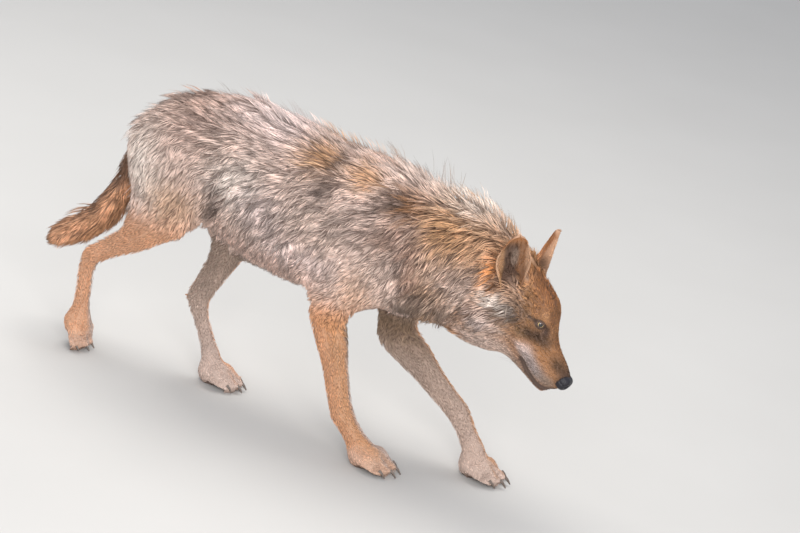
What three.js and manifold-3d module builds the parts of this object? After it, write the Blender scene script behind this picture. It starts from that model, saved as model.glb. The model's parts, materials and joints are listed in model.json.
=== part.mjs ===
// A life-size grey wolf as a still model. It walks with its head low, the left foreleg reaching ahead
// and the right hind leg pushing off behind on its toes.
//
// Units are millimetres. +X is the way the wolf faces, +Y its left side and +Z up. The feet stand on
// Z = 0. The origin is the middle of the model's bounding box, at floor level.
//
// The whole body is one smooth distance field, negative inside, that reaches to the tips of the coat.
// Each named piece is that field wrapped with rings of points around its own axis, then cut from its
// neighbours with thin, flat cuts.

import * as THREE from "three";
import { mergeVertices } from "three/addons/utils/BufferGeometryUtils.js";
import Module from "manifold-3d";

const wasm = await Module();
wasm.setup();

// ---------------------------------------------------------------- driving dimensions

const CUT_GAP = 0.6; // clear space between two neighbouring pieces
const REACH = 175; // how far a wrapping ray may run before it counts as still inside
const END_REACH = 40; // how far the end of a wrapped piece may stand out past its last ring
const SEEK_STEP = 6; // how finely a wrapping ray looks for the surface

const HUMERUS = 204;
const FOREARM = 204;
const METACARPUS = 85;
const FEMUR = 220;
const SHANK = 225;
const METATARSUS = 121;

// Trunk and neck, from rump to nape. Each station is [x, top z, bottom z, half width].
const TORSO = [
  [-340, 492, 450, 26],
  [-318, 526, 418, 54],
  [-275, 566, 385, 78],
  [-215, 591, 362, 90],
  [-140, 607, 330, 97],
  [-60, 611, 288, 103],
  [40, 598, 272, 112],
  [140, 582, 268, 114],
  [230, 574, 278, 106],
  [310, 567, 292, 96],
  [390, 562, 282, 94],
  [445, 542, 276, 94],
  [485, 518, 284, 86],
  [515, 488, 312, 66],
];

// The tail's centre line from root to tip. Each station is [x, y, z, radius].
const TAIL = [
  [-312, 2, 486, 30],
  [-326, 8, 420, 33],
  [-340, 14, 345, 36],
  [-372, 20, 276, 39],
  [-422, 24, 222, 38],
  [-470, 27, 188, 29],
  [-500, 29, 170, 12],
];

// Head pose: where the tip of the nose is, and how the head is turned there.
const NOSE_TIP = new THREE.Vector3(652, -40, 284);
const HEAD_YAW = -4.4; // degrees to the wolf's left
const HEAD_PITCH = 37; // degrees nose down
const HEAD_ROLL = -3; // degrees, left side down when negative

// Head sections in the head's own frame: x along the muzzle with 0 at the nose tip, z towards the crown.
const EYE = { x: -122, y: 34, z: 37, radius: 12 };
const EAR = { root: [-226, 54, 43], height: 112, width: 72, depth: 32, thickness: 6.5 };
const EAR_TURNS = {
  right: { back: 27, out: 23, turn: 26 },
  left: { back: 19, out: -9, turn: 30 },
};
const NOSE_PAD = { width: 36, height: 29, length: 24 };
const CLAW = { length: 14, root: 3.6, tip: 1.2 };

// Each leg hangs from its top joint at [x, z]. Its bones are set at `angles`, in degrees from straight
// down and positive forwards, and lean sideways by `lean`. `girth` scales the forearm, `tip` lifts the
// heel off the toes, and `heel` is where the point of the hock lies from the ankle.
const FORELEGS = [
  { name: "right", side: -1, top: [281, 434], angles: [-37.7, 23, 46], lean: -2, girth: 1 },
  { name: "left", side: 1, top: [281, 425], angles: [-9, 57, 39], lean: -3, girth: 1.08 },
];
const HINDLEGS = [
  { name: "right", side: -1, top: [-281, 536], angles: [22, -50, 2], lean: 3, tip: 60, heel: [-20, 6] },
  { name: "left", side: 1, top: [-243, 512], angles: [45, -17, 30], lean: -2.5, tip: 0, heel: [-25, 21] },
];
const SHOULDER_HALF_WIDTH = 73;
const HIP_HALF_WIDTH = 57;

const PAW_FRONT = { spread: 1, length: 1 };
const PAW_HIND = { spread: 0.86, length: 0.95 };
const KNUCKLE_HEIGHT = 28; // of the knuckle joint above the sole
const TOE_HINGE = 46; // how far ahead of the knuckle a tipped paw bends
const SOLE_PRESS = 4; // how far the floor presses the soles flat

// The four toes, inner to outer: how far to the side each lies, how far ahead it reaches and starts.
const TOES = [
  { y: 31, reach: 45, root: -2 },
  { y: 11.5, reach: 60, root: 6 },
  { y: -11.5, reach: 60, root: 6 },
  { y: -31, reach: 45, root: -2 },
];

// ---------------------------------------------------------------- colours

const COAT_GREY = 0xa8927c;
const COAT_TAWNY = 0xb5875c;
const COAT_FACE = 0xa87550;
const COAT_LEG = 0xc4956c;
const coatMaterial = (color) => new THREE.MeshStandardMaterial({ color, roughness: 0.9, metalness: 0 });
const materials = {
  trunk: coatMaterial(COAT_GREY),
  neck: coatMaterial(COAT_TAWNY),
  head: coatMaterial(COAT_FACE),
  leg: coatMaterial(COAT_LEG),
  nose: new THREE.MeshStandardMaterial({ color: 0x1c1a1c, roughness: 0.45, metalness: 0 }),
  claw: new THREE.MeshStandardMaterial({ color: 0x2c2622, roughness: 0.5, metalness: 0 }),
  eye: new THREE.MeshStandardMaterial({ color: 0xb08a3a, roughness: 0.1, metalness: 0 }),
};

// ---------------------------------------------------------------- small helpers

const radians = THREE.MathUtils.degToRad;
const v = (x, y, z) => new THREE.Vector3(x, y, z);
const between = (a, b, t) => a.clone().lerp(b, t);

// A point further along a limb: `length` from `start`, at `angle` from straight down, leaning sideways.
function along(start, length, angle, lean) {
  const a = radians(angle);
  const s = radians(lean);
  const way = v(Math.sin(a), Math.sin(s) * Math.cos(a), -Math.cos(a) * Math.cos(s));
  return start.clone().addScaledVector(way, length);
}

// A smooth curve through stations: returns x -> [value, ...], with flat ends past the first and last.
function smoothTable(stations) {
  const xs = stations.map((s) => s[0]);
  const slope = (i, k) => {
    if (i === 0 || i === xs.length - 1) return 0;
    return (stations[i + 1][k] - stations[i - 1][k]) / (xs[i + 1] - xs[i - 1]);
  };
  return (x) => {
    let i = 0;
    while (i < xs.length - 2 && x > xs[i + 1]) i++;
    const h = xs[i + 1] - xs[i];
    const t = THREE.MathUtils.clamp((x - xs[i]) / h, 0, 1);
    return stations[i].slice(1).map((a, j) => {
      const k = j + 1;
      const b = stations[i + 1][k];
      const m0 = slope(i, k) * h;
      const m1 = slope(i + 1, k) * h;
      return (
        (2 * t ** 3 - 3 * t ** 2 + 1) * a +
        (t ** 3 - 2 * t ** 2 + t) * m0 +
        (-2 * t ** 3 + 3 * t ** 2) * b +
        (t ** 3 - t ** 2) * m1
      );
    });
  };
}

// ---------------------------------------------------------------- distance fields

const smoothMin = (a, b, blend) => {
  const h = Math.max(blend - Math.abs(a - b), 0) / blend;
  return Math.min(a, b) - (h * h * blend) / 4;
};

// A tapered limb from a to b. `flat` is its width across the body over its depth.
function limb(a, b, ra, rb, flat = 1) {
  const axis = b.clone().sub(a);
  const length2 = axis.lengthSq();
  return (p) => {
    const t = THREE.MathUtils.clamp(p.clone().sub(a).dot(axis) / length2, 0, 1);
    const off = p.clone().sub(a).addScaledVector(axis, -t);
    off.y /= flat;
    return off.length() - (ra + (rb - ra) * t);
  };
}

// An ellipsoid with half sizes r, optionally turned nose down by `pitch` degrees.
function egg(centre, r, pitch = 0) {
  const turn = new THREE.Matrix4().makeRotationY(-radians(pitch));
  const least = Math.min(r.x, r.y, r.z);
  return (p) => {
    const q = p.clone().sub(centre).applyMatrix4(turn).divide(r);
    return (q.length() - 1) * least;
  };
}

// A body whose upright sections are ovals between a top and a bottom line.
function barrel(stations) {
  const table = smoothTable(stations);
  const first = stations[0][0];
  const last = stations[stations.length - 1][0];
  return (p) => {
    const [top, bottom, half] = table(p.x);
    const middle = (top + bottom) / 2;
    const tall = (top - bottom) / 2;
    const r = Math.hypot((p.z - middle) / tall, p.y / half);
    const side = (r - 1) * Math.min(tall, half);
    const past = Math.max(first - p.x, p.x - last, 0);
    return past > 0 ? Math.hypot(Math.max(side, 0), past) : side;
  };
}

// A tube through stations [x, y, z, radius].
function tube(stations) {
  const points = stations.map(([x, y, z]) => v(x, y, z));
  const links = points.slice(1).map((b, i) => limb(points[i], b, stations[i][3], stations[i + 1][3]));
  return (p) => Math.min(...links.map((link) => link(p)));
}

// Joins fields smoothly, in order. Each entry is [field, blend].
function blended(entries) {
  return (p) => entries.reduce((d, [field, blend]) => smoothMin(d, field(p), blend), 1e3);
}

// ---------------------------------------------------------------- where the joints are

function foreleg(leg) {
  const shoulder = v(leg.top[0], leg.side * SHOULDER_HALF_WIDTH, leg.top[1]);
  const elbow = along(shoulder, HUMERUS, leg.angles[0], leg.lean);
  const point = along(along(elbow, -6, leg.angles[1], 0), 15, leg.angles[1] - 90, 0);
  const wrist = along(elbow, FOREARM, leg.angles[1], leg.lean);
  const knuckle = along(wrist, METACARPUS, leg.angles[2], leg.lean);
  return { ...leg, shoulder, elbow, point, wrist, knuckle, tip: 0, paw: PAW_FRONT };
}

function hindleg(leg) {
  const hip = v(leg.top[0], leg.side * HIP_HALF_WIDTH, leg.top[1]);
  const knee = along(hip, FEMUR, leg.angles[0], leg.lean);
  const ankle = along(knee, SHANK, leg.angles[1], leg.lean);
  const knuckle = along(ankle, METATARSUS, leg.angles[2], leg.lean);
  const heel = ankle.clone().add(v(leg.heel[0], 0, leg.heel[1]));
  return { ...leg, hip, knee, ankle, heel, knuckle, paw: PAW_HIND };
}

const forelegs = FORELEGS.map(foreleg);
const hindlegs = HINDLEGS.map(hindleg);

// ---------------------------------------------------------------- the body's fields

function forelegFields({ side, girth, shoulder, elbow, point, wrist, knuckle }) {
  const bladeTop = v(shoulder.x - 85, side * 42, 528);
  const tricepsTop = shoulder.clone().add(v(-55, -side * 8, 20));
  const swell = between(elbow, wrist, 0.25).add(v(6, side * 3, 0));
  const slim = between(elbow, wrist, 0.78);
  return [
    [limb(bladeTop, shoulder, 34, 50, 0.8), 50],
    [limb(shoulder, elbow, 54, 38, 0.72), 34],
    [limb(tricepsTop, elbow.clone().add(v(4, 0, 20)), 48, 28, 0.75), 30],
    [limb(point, elbow, 16, 26, 0.8), 12],
    [limb(elbow, swell, 38 * girth, 36 * girth, 0.78), 12],
    [limb(swell, slim, 35 * girth, 27, 0.8), 12],
    [limb(slim, wrist, 27, 26, 0.88), 8],
    [limb(wrist, knuckle, 25, 21, 0.95), 8],
  ];
}

function hindlegFields({ side, hip, knee, ankle, heel, knuckle }) {
  const seat = v(-314, side * 38, 468);
  const hamstring = between(knee, ankle, 0.3).add(v(-14, 0, 6));
  return [
    [limb(between(hip, knee, 0.2), between(hip, knee, 0.6), 56, 64, 0.66), 40],
    [limb(between(hip, knee, 0.5), knee, 66, 40, 0.62), 30],
    [limb(seat, hamstring, 40, 32, 0.7), 34],
    [limb(knee, between(knee, ankle, 0.45), 41, 33, 0.68), 20],
    [limb(between(knee, ankle, 0.35), ankle, 35, 19, 0.74), 14],
    [limb(between(knee, heel, 0.55), heel, 20, 13, 0.7), 12],
    [limb(heel, ankle, 15, 22, 0.8), 8],
    [limb(ankle, knuckle, 22, 18, 0.9), 8],
  ];
}

// Puts a point given in the paw's own frame (x ahead of the knuckle, z above the sole) into the body's.
// A tipped paw turns about the toe ends, which stay flat on the floor.
function pawPlace({ knuckle, paw, tip }) {
  const a = radians(tip);
  const hinge = v(TOE_HINGE * paw.length, 0, 11);
  const hingeX = knuckle.x + hinge.x * Math.cos(a) - (KNUCKLE_HEIGHT - hinge.z) * Math.sin(a);
  return (x, y, z) => {
    const dx = x * paw.length - hinge.x;
    const dz = z - hinge.z;
    const turn = dx < 0 ? a : 0;
    return v(
      hingeX + dx * Math.cos(turn) + dz * Math.sin(turn),
      knuckle.y + y * paw.spread,
      hinge.z - dx * Math.sin(turn) + dz * Math.cos(turn) - SOLE_PRESS,
    );
  };
}

function pawFields(leg) {
  const at = pawPlace(leg);
  const fields = [
    [limb(at(-6, 0, 30), at(22, 0, 30), 23, 19, 1.25), 12],
    [egg(at(2, 0, 14), v(25, 27, 16), leg.tip), 8],
  ];
  for (const toe of TOES) {
    const top = at(toe.root + 24, toe.y, 28);
    const end = at(toe.reach, toe.y * 1.06, 10.5);
    fields.push([limb(at(toe.root, toe.y * 0.62, 26), top, 14, 13.5), 7]);
    fields.push([limb(top, end, 13.5, 11.5), 4]);
  }
  return fields;
}

// Head frame: columns are forward along the muzzle, left, and up towards the crown.
const headTurn = new THREE.Matrix4()
  .makeRotationZ(radians(HEAD_YAW))
  .multiply(new THREE.Matrix4().makeRotationY(radians(HEAD_PITCH)))
  .multiply(new THREE.Matrix4().makeRotationX(radians(HEAD_ROLL)));
const headToBody = new THREE.Matrix4().makeTranslation(...NOSE_TIP.toArray()).multiply(headTurn);
const bodyToHead = headToBody.clone().invert();

// The head's field, in the head's frame: braincase, brows, muzzle, lips, jaw and cheek ruffs.
const pair = (make) => [make(1), make(-1)];
const headField = blended([
  [egg(v(-196, 0, 22), v(80, 66, 56), -8), 10],
  [limb(v(-152, 0, 35), v(-122, 0, 19), 37, 31, 1.22), 26],
  [limb(v(-124, 0, 8), v(-36, 0, -4), 34, 21.5, 1.04), 18],
  [limb(v(-36, 0, -4), v(-16, 0, -7), 21.5, 16.5, 1.1), 8],
  [limb(v(-150, 0, -53), v(-28, 0, -38), 28.5, 13.5, 1.05), 12],
  ...pair((s) => [limb(v(-154, s * 38, 42), v(-127, s * 31, 51), 17, 10), 12]),
  ...pair((s) => [limb(v(-178, s * 60, 0), v(-130, s * 43, -5), 25, 17), 20]),
  ...pair((s) => [limb(v(-114, s * 29, -17), v(-40, s * 15, -19), 17, 13), 12]),
  ...pair((s) => [egg(v(-208, s * 58, -35), v(54, 42, 56), 20), 26]),
  ...pair((s) => [limb(v(-232, s * 42, 30), v(-230, s * 46, 52), 26, 15), 16]),
]);
const headInBody = (p) => headField(p.clone().applyMatrix4(bodyToHead));

const coat = blended([
  [barrel(TORSO), 1],
  ...forelegs.flatMap(forelegFields),
  ...hindlegs.flatMap(hindlegFields),
  ...[...forelegs, ...hindlegs].flatMap(pawFields),
  [headInBody, 34],
]);
const tailCoat = tube(TAIL);
const tailRoom = (p) => tailCoat(p) - CUT_GAP;

// ---------------------------------------------------------------- wrapping the field with rings

// How far the surface is from `from` in direction `way`, or REACH if it is further.
function surfaceDistance(field, from, way, reach) {
  const at = (d) => field(from.clone().addScaledVector(way, d));
  let near = 0;
  let far = 0;
  while (far < reach && at(far) < 0) {
    near = far;
    far += SEEK_STEP;
  }
  if (far >= reach) return reach;
  for (let i = 0; i < 12; i++) {
    const middle = (near + far) / 2;
    if (at(middle) < 0) near = middle;
    else far = middle;
  }
  return Math.max(near, 0.5);
}

// A closed shell of rings around the path, each point where a ray from the path leaves the field.
// The ends close on a point where the path's own line leaves the field.
function wrap(field, path, sides, reach = REACH) {
  const rings = path.map((centre, i) => {
    const next = path[Math.min(i + 1, path.length - 1)];
    const ahead = next.clone().sub(path[Math.max(i - 1, 0)]).normalize();
    const across = v(0, 1, 0).addScaledVector(ahead, -ahead.y).normalize();
    const over = ahead.clone().cross(across).normalize();
    const points = [];
    for (let k = 0; k < sides; k++) {
      const a = (2 * Math.PI * k) / sides;
      const way = over.clone().multiplyScalar(Math.cos(a)).addScaledVector(across, Math.sin(a));
      points.push(centre.clone().addScaledVector(way, surfaceDistance(field, centre, way, reach)));
    }
    return points;
  });
  const end = (i, j) => {
    const way = path[i].clone().sub(path[j]).normalize();
    const out = Math.min(surfaceDistance(field, path[i], way, reach), END_REACH);
    return path[i].clone().addScaledVector(way, out);
  };
  return ringed(rings, end(0, 1), end(path.length - 1, path.length - 2));
}

// ---------------------------------------------------------------- solids

// A solid skinned over rings of points, each ring as long as the next, closed on a point at either end.
function ringed(rings, first, last) {
  const sides = rings[0].length;
  const end = (rings.length - 1) * sides;
  const tip = end + sides;
  const faces = [];
  for (let k = 0; k < sides; k++) {
    const n = (k + 1) % sides;
    faces.push(tip, k, n, tip + 1, end + n, end + k);
    for (let a = 0; a < end; a += sides) {
      const b = a + sides;
      faces.push(a + k, b + k, b + n, a + k, b + n, a + n);
    }
  }
  return shell([...rings.flat(), first, last], faces);
}

function shell(points, faces) {
  const xyz = points.flatMap((p) => p.toArray());
  const geometry = new THREE.BufferGeometry();
  geometry.setAttribute("position", new THREE.Float32BufferAttribute(xyz, 3));
  geometry.setIndex(faces);
  return solid(geometry);
}

function solid(geometry) {
  const bare = geometry.clone();
  bare.deleteAttribute("normal");
  bare.deleteAttribute("uv");
  const merged = mergeVertices(bare, 1e-4);
  return new wasm.Manifold(
    new wasm.Mesh({
      numProp: 3,
      vertProperties: new Float32Array(merged.attributes.position.array),
      triVerts: new Uint32Array(merged.index.array),
    }),
  );
}

// The largest body of a solid, without crumbs that a cut left.
function whole(made) {
  return made.decompose().reduce((a, b) => (b.volume() > a.volume() ? b : a));
}

// All that lies past a plane: a big block whose near face passes through `point`, facing -normal.
const BLOCK = 1600;
function beyond(point, normal, margin = 0) {
  const box = new THREE.BoxGeometry(BLOCK, BLOCK, BLOCK);
  const n = normal.clone().normalize();
  const middle = point.clone().addScaledVector(n, BLOCK / 2 + margin);
  const turn = new THREE.Quaternion().setFromUnitVectors(v(0, 0, 1), n);
  return solid(box.applyQuaternion(turn).translate(...middle.toArray()));
}

const pieces = [];
function piece(name, made, material) {
  const m = whole(made).getMesh();
  const geometry = new THREE.BufferGeometry();
  const xyz = [];
  for (let i = 0; i < m.numVert; i++) {
    xyz.push(...m.vertProperties.subarray(i * m.numProp, i * m.numProp + 3));
  }
  geometry.setAttribute("position", new THREE.Float32BufferAttribute(xyz, 3));
  geometry.setIndex([...m.triVerts]);
  geometry.computeVertexNormals();
  const mesh = new THREE.Mesh(geometry, material);
  mesh.name = name;
  pieces.push(mesh);
}

// Evenly spaced points on a polyline through `points`.
function steps(points, count) {
  const path = new THREE.CurvePath();
  points.slice(1).forEach((b, i) => path.add(new THREE.LineCurve3(points[i], b)));
  return path.getSpacedPoints(count - 1);
}

// ---------------------------------------------------------------- where the cuts run

const FLOOR = beyond(v(0, 0, 0), v(0, 0, -1));

// The room a leg takes out of the body: a round-topped arch, from `inner` off the midline outwards.
// Below `low` it takes all of its own side.
function legRoom({ x, z, rx, rz, inner, low }, side, margin) {
  const y = side * (BLOCK / 2 + inner - margin);
  const wide = rx + margin;
  const drum = new THREE.CylinderGeometry(1, 1, BLOCK, 28).scale(wide, 1, rz + margin).translate(x, y, z);
  const doorway = new THREE.BoxGeometry(2 * wide, BLOCK, BLOCK).translate(x, y, z - BLOCK / 2);
  const ownSide = beyond(v(0, side * 2, 0), v(0, side, 0), -margin);
  const below = beyond(v(0, 0, low + margin), v(0, 0, -1)).intersect(ownSide);
  return solid(drum).add(solid(doorway)).add(below);
}

function shoulderRoom({ side, elbow }, margin) {
  return legRoom({ x: elbow.x + 30, z: 350, rx: 96, rz: 92, inner: 34, low: 262 }, side, margin);
}

function hipRoom({ side, hip, knee }, margin) {
  const x = (hip.x + knee.x) / 2 - 20;
  const rx = 103 + 0.3 * (knee.x - hip.x);
  return legRoom({ x, z: 430, rx, rz: 96, inner: 22, low: 280 }, side, margin);
}

const NECK_PLANE = { point: v(292, 0, 430), normal: v(0.95, 0, 0.31) };
const HEAD_PLANE = {
  point: v(-236, 0, 0).applyMatrix4(headToBody),
  normal: v(1, 0, 0.1).transformDirection(headToBody),
};

// ---------------------------------------------------------------- trunk, neck and tail

const half = CUT_GAP / 2;
const tailLine = new THREE.CatmullRomCurve3(TAIL.map(([x, y, z]) => v(x, y, z)));
const tailPath = tailLine.getSpacedPoints(12);
piece("tail", wrap(tailCoat, tailPath, 14, 90), materials.neck);
const tailHole = wrap(tailRoom, tailPath, 14, 90);

const trunkPath = steps([v(-336, 0, 478), v(-180, 0, 452), v(0, 0, 432), v(370, 0, 428)], 16);
let trunk = wrap(coat, trunkPath, 24).subtract(beyond(NECK_PLANE.point, NECK_PLANE.normal, -half));
for (const leg of forelegs) trunk = trunk.subtract(shoulderRoom(leg, half));
for (const leg of hindlegs) trunk = trunk.subtract(hipRoom(leg, half));
trunk = trunk.subtract(tailHole);
piece("trunk", trunk, materials.trunk);

const neckPath = steps([v(215, 0, 430), v(520, -8, 398)], 11);
let neck = wrap(coat, neckPath, 22)
  .intersect(beyond(NECK_PLANE.point, NECK_PLANE.normal, half))
  .subtract(beyond(HEAD_PLANE.point, HEAD_PLANE.normal, -half));
for (const leg of forelegs) neck = neck.subtract(shoulderRoom(leg, half));

// ---------------------------------------------------------------- legs

// From inside the shin, round the knuckle and along the toes.
function pawPath(leg, low, knuckle) {
  const at = pawPlace(leg);
  const shin = [between(low, knuckle, 0.58), between(low, knuckle, 0.86)];
  const toes = [at(14, 0, 21), at(38, 0, 15), at(62, 0, 12)];
  return new THREE.CatmullRomCurve3([...shin, ...toes]).getSpacedPoints(12);
}

// One claw: a short horn, curved down, that starts inside its toe. `grow` makes it fatter all round.
function claw(leg, toe, grow) {
  const at = pawPlace(leg);
  const line = (t) => at(toe.reach + 6 + CLAW.length * t, toe.y * 1.06, 19 - 4 * t - 7 * t * t);
  const centres = [0, 0.5, 1].map(line);
  const axis = centres[2].clone().sub(centres[0]).normalize();
  const across = v(0, 1, 0);
  const over = axis.clone().cross(across).normalize();
  const rings = centres.map((centre, i) => {
    const radius = CLAW.root + (CLAW.tip - CLAW.root) * (i / 2) + grow;
    const height = over.clone().multiplyScalar(1.2 * radius);
    const width = across.clone().multiplyScalar(radius);
    return [
      centre.clone().add(height),
      centre.clone().add(width),
      centre.clone().sub(height),
      centre.clone().sub(width),
    ];
  });
  return ringed(rings, centres[0].clone().sub(axis), centres[2].clone().add(axis));
}

function legPieces(kind, leg, joints, room) {
  const [root, middle, low, knuckle] = joints;
  const above = between(root, middle, -0.38);
  const upperPath = steps([above, middle, between(middle, low, 0.4)], 10);
  const lowerPath = steps([between(root, middle, 0.8), middle, low, between(low, knuckle, 0.97)], 13);
  const top = room(leg, -half);
  const bend = middle.clone().sub(root).normalize().add(low.clone().sub(middle).normalize());
  const elbowPlane = { point: between(middle, low, 0.12), normal: bend.normalize() };
  const pawTop = { point: between(low, knuckle, 0.72), normal: knuckle.clone().sub(low).normalize() };

  const upper = wrap(coat, upperPath, 16)
    .intersect(top)
    .subtract(tailHole)
    .subtract(beyond(elbowPlane.point, elbowPlane.normal, -half));
  piece(`${kind}_${leg.name}_upper`, upper, materials.leg);

  const lower = wrap(coat, lowerPath, 12)
    .intersect(beyond(elbowPlane.point, elbowPlane.normal, half))
    .subtract(beyond(pawTop.point, pawTop.normal, -half));
  piece(`${kind}_${leg.name}_lower`, lower.intersect(top), materials.leg);

  const foot = wrap(coat, pawPath(leg, low, knuckle), 16, 60)
    .intersect(beyond(pawTop.point, pawTop.normal, half))
    .subtract(FLOOR);
  const paw = TOES.reduce((rest, toe) => rest.subtract(claw(leg, toe, CUT_GAP)), foot);
  piece(`${kind}_${leg.name}_paw`, paw, materials.leg);
  TOES.forEach((toe, i) => {
    piece(`claw_${kind}_${leg.name}_${i + 1}`, claw(leg, toe, 0), materials.claw);
  });
}

for (const leg of forelegs) {
  legPieces("foreleg", leg, [leg.shoulder, leg.elbow, leg.wrist, leg.knuckle], shoulderRoom);
}
for (const leg of hindlegs) {
  legPieces("hindleg", leg, [leg.hip, leg.knee, leg.ankle, leg.knuckle], hipRoom);
}

// ---------------------------------------------------------------- head

const headLine = steps([v(-275, 0, 0), v(-150, 0, 0), v(-18, 0, -14)], 21);
const headPath = headLine.map((p) => p.applyMatrix4(headToBody));
let head = wrap(coat, headPath, 24, 190).intersect(beyond(HEAD_PLANE.point, HEAD_PLANE.normal, half));

// One ear: a cupped leaf made of crescent rings, open to the front, set on the head's upper corner.
const EAR_RINGS = 6;
const EAR_SIDES = 6;
function ear(side, grow) {
  const pose = EAR_TURNS[side > 0 ? "left" : "right"];
  const points = [];
  for (let i = 0; i <= EAR_RINGS; i++) {
    const t = i / EAR_RINGS;
    const taper = Math.pow(1 - Math.pow(t, 3), 0.6);
    const belly = 0.9 + 0.25 * Math.sin(Math.PI * Math.min(t * 1.4, 1));
    const across = (EAR.width / 2) * taper * belly + 1.5;
    const deep = EAR.depth * (1 - 0.75 * t) + 1;
    const thick = (EAR.thickness / 2) * (1 - 0.45 * t) + grow;
    const arc = (k, r) => {
      const a = ((k / EAR_SIDES) * 2 - 1) * (Math.PI / 2) * 0.98;
      const z = t * (EAR.height + grow);
      return v(-Math.cos(a) * (deep + r) + deep * 0.45, Math.sin(a) * (across + r), z);
    };
    for (let k = 0; k <= EAR_SIDES; k++) points.push(arc(k, thick));
    for (let k = EAR_SIDES; k >= 0; k--) points.push(arc(k, -thick));
  }
  const n = 2 * (EAR_SIDES + 1);
  const faces = [];
  for (let k = 0; k < n; k++) {
    const m = (k + 1) % n;
    for (let i = 0; i < EAR_RINGS; i++) {
      const a = i * n;
      const b = a + n;
      faces.push(a + k, b + k, b + m, a + k, b + m, a + m);
    }
  }
  const top = EAR_RINGS * n;
  for (let k = 0; k < EAR_SIDES; k++) {
    const back = n - 1 - k;
    faces.push(k, k + 1, back, k + 1, back - 1, back);
    faces.push(top + k, top + back, top + k + 1, top + k + 1, top + back, top + back - 1);
  }
  const turn = new THREE.Euler(-side * radians(pose.out), -radians(pose.back), side * radians(pose.turn));
  const root = v(EAR.root[0], side * EAR.root[1], EAR.root[2]);
  return shell(points.map((p) => p.applyEuler(turn).add(root).applyMatrix4(headToBody)), faces);
}

for (const side of [1, -1]) {
  const name = side > 0 ? "left" : "right";
  piece(`ear_${name}`, ear(side, 0), materials.head);
  head = head.subtract(ear(side, CUT_GAP));
  neck = neck.subtract(ear(side, CUT_GAP));

  const centre = v(EYE.x, side * EYE.y, EYE.z).applyMatrix4(headToBody);
  const ball = (r) => solid(new THREE.SphereGeometry(r, 12, 8).translate(centre.x, centre.y, centre.z));
  piece(`eye_${name}`, ball(EYE.radius), materials.eye);
  head = head.subtract(ball(EYE.radius + CUT_GAP));
}

const nosePad = (grow) => {
  const { length, width, height } = NOSE_PAD;
  const size = [length / 2 + grow, width / 2 + grow, height / 2 + grow];
  const pad = new THREE.SphereGeometry(1, 14, 9).scale(...size).translate(-10, 0, -4);
  return solid(pad.applyMatrix4(headToBody));
};
piece("neck", neck, materials.neck);
piece("nose", nosePad(0), materials.nose);
piece("head", head.subtract(nosePad(CUT_GAP)), materials.head);

// ---------------------------------------------------------------- the finished group

const group = new THREE.Group();
group.name = "wolf";
const bounds = new THREE.Box3();
for (const mesh of pieces) {
  group.add(mesh);
  bounds.expandByObject(mesh);
}
const centre = bounds.getCenter(v(0, 0, 0));
group.position.set(-centre.x, -centre.y, 0);

export default group;
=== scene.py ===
# %% [markdown]
# # A grey wolf, walking with its head low
#
# This script dresses a plain solid model of a wolf so that it looks like the living animal. The
# solid model comes from a fixed frame and already reaches to the tips of the coat. Here it gets
# three things: one continuous skin that lies inside the solid, a coat made of many small tapered
# locks that grow out of that skin, and the hard or wet parts (eyes, nose leather, claws,
# whiskers).
#
# Every number that matters has a name. Lengths are in metres, except in the head's own frame and
# where a comment says mm.

import json
import math

import bmesh
import bpy
import numpy as np
from mathutils import Matrix, Vector, noise
from mathutils.bvhtree import BVHTree
from mathutils.kdtree import KDTree

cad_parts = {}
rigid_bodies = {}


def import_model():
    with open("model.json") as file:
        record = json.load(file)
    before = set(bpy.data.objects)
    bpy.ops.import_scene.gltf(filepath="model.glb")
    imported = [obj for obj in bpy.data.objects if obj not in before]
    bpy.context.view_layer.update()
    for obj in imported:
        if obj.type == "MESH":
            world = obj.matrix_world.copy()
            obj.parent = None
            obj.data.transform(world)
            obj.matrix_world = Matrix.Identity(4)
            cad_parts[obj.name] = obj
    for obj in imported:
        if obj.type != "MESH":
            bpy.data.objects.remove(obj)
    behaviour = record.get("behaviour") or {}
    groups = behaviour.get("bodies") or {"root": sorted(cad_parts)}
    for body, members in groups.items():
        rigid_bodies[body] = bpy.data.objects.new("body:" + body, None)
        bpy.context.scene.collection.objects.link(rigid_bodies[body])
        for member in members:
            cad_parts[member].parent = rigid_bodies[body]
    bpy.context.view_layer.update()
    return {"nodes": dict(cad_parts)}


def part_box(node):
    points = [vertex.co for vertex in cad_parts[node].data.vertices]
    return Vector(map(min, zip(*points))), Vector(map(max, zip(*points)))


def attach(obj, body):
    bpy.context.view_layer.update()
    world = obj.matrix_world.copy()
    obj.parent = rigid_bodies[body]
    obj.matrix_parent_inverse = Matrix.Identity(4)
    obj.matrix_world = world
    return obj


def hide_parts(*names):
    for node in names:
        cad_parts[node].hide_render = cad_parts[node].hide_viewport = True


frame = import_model()
NODES = frame["nodes"]
FLESH = sorted(n for n in NODES if not n.startswith(("claw", "eye", "nose")))
MM = 0.001
rng = np.random.default_rng(7)
print("flesh nodes:", len(FLESH), "other nodes:", len(NODES) - len(FLESH))

# %% [markdown]
# ## Helpers for plain arrays
#
# Most of the work below is done on whole arrays of points at once, because a coat has a hundred
# thousand locks and a Python loop over them would be slow. These helpers read a mesh into arrays,
# write arrays into a mesh, and average values between neighbouring points.

# %% Array helpers
def points_of(mesh):
    out = np.empty(len(mesh.vertices) * 3)
    mesh.vertices.foreach_get("co", out)
    return out.reshape(-1, 3)


def normals_of(mesh):
    mesh.update()
    out = np.empty(len(mesh.vertices) * 3)
    mesh.vertices.foreach_get("normal", out)
    return out.reshape(-1, 3)


def set_points(mesh, points):
    mesh.vertices.foreach_set("co", np.ascontiguousarray(points, float).ravel())
    mesh.update()


def unit(a):
    return a / np.maximum(np.linalg.norm(a, axis=-1, keepdims=True), 1e-12)


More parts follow.
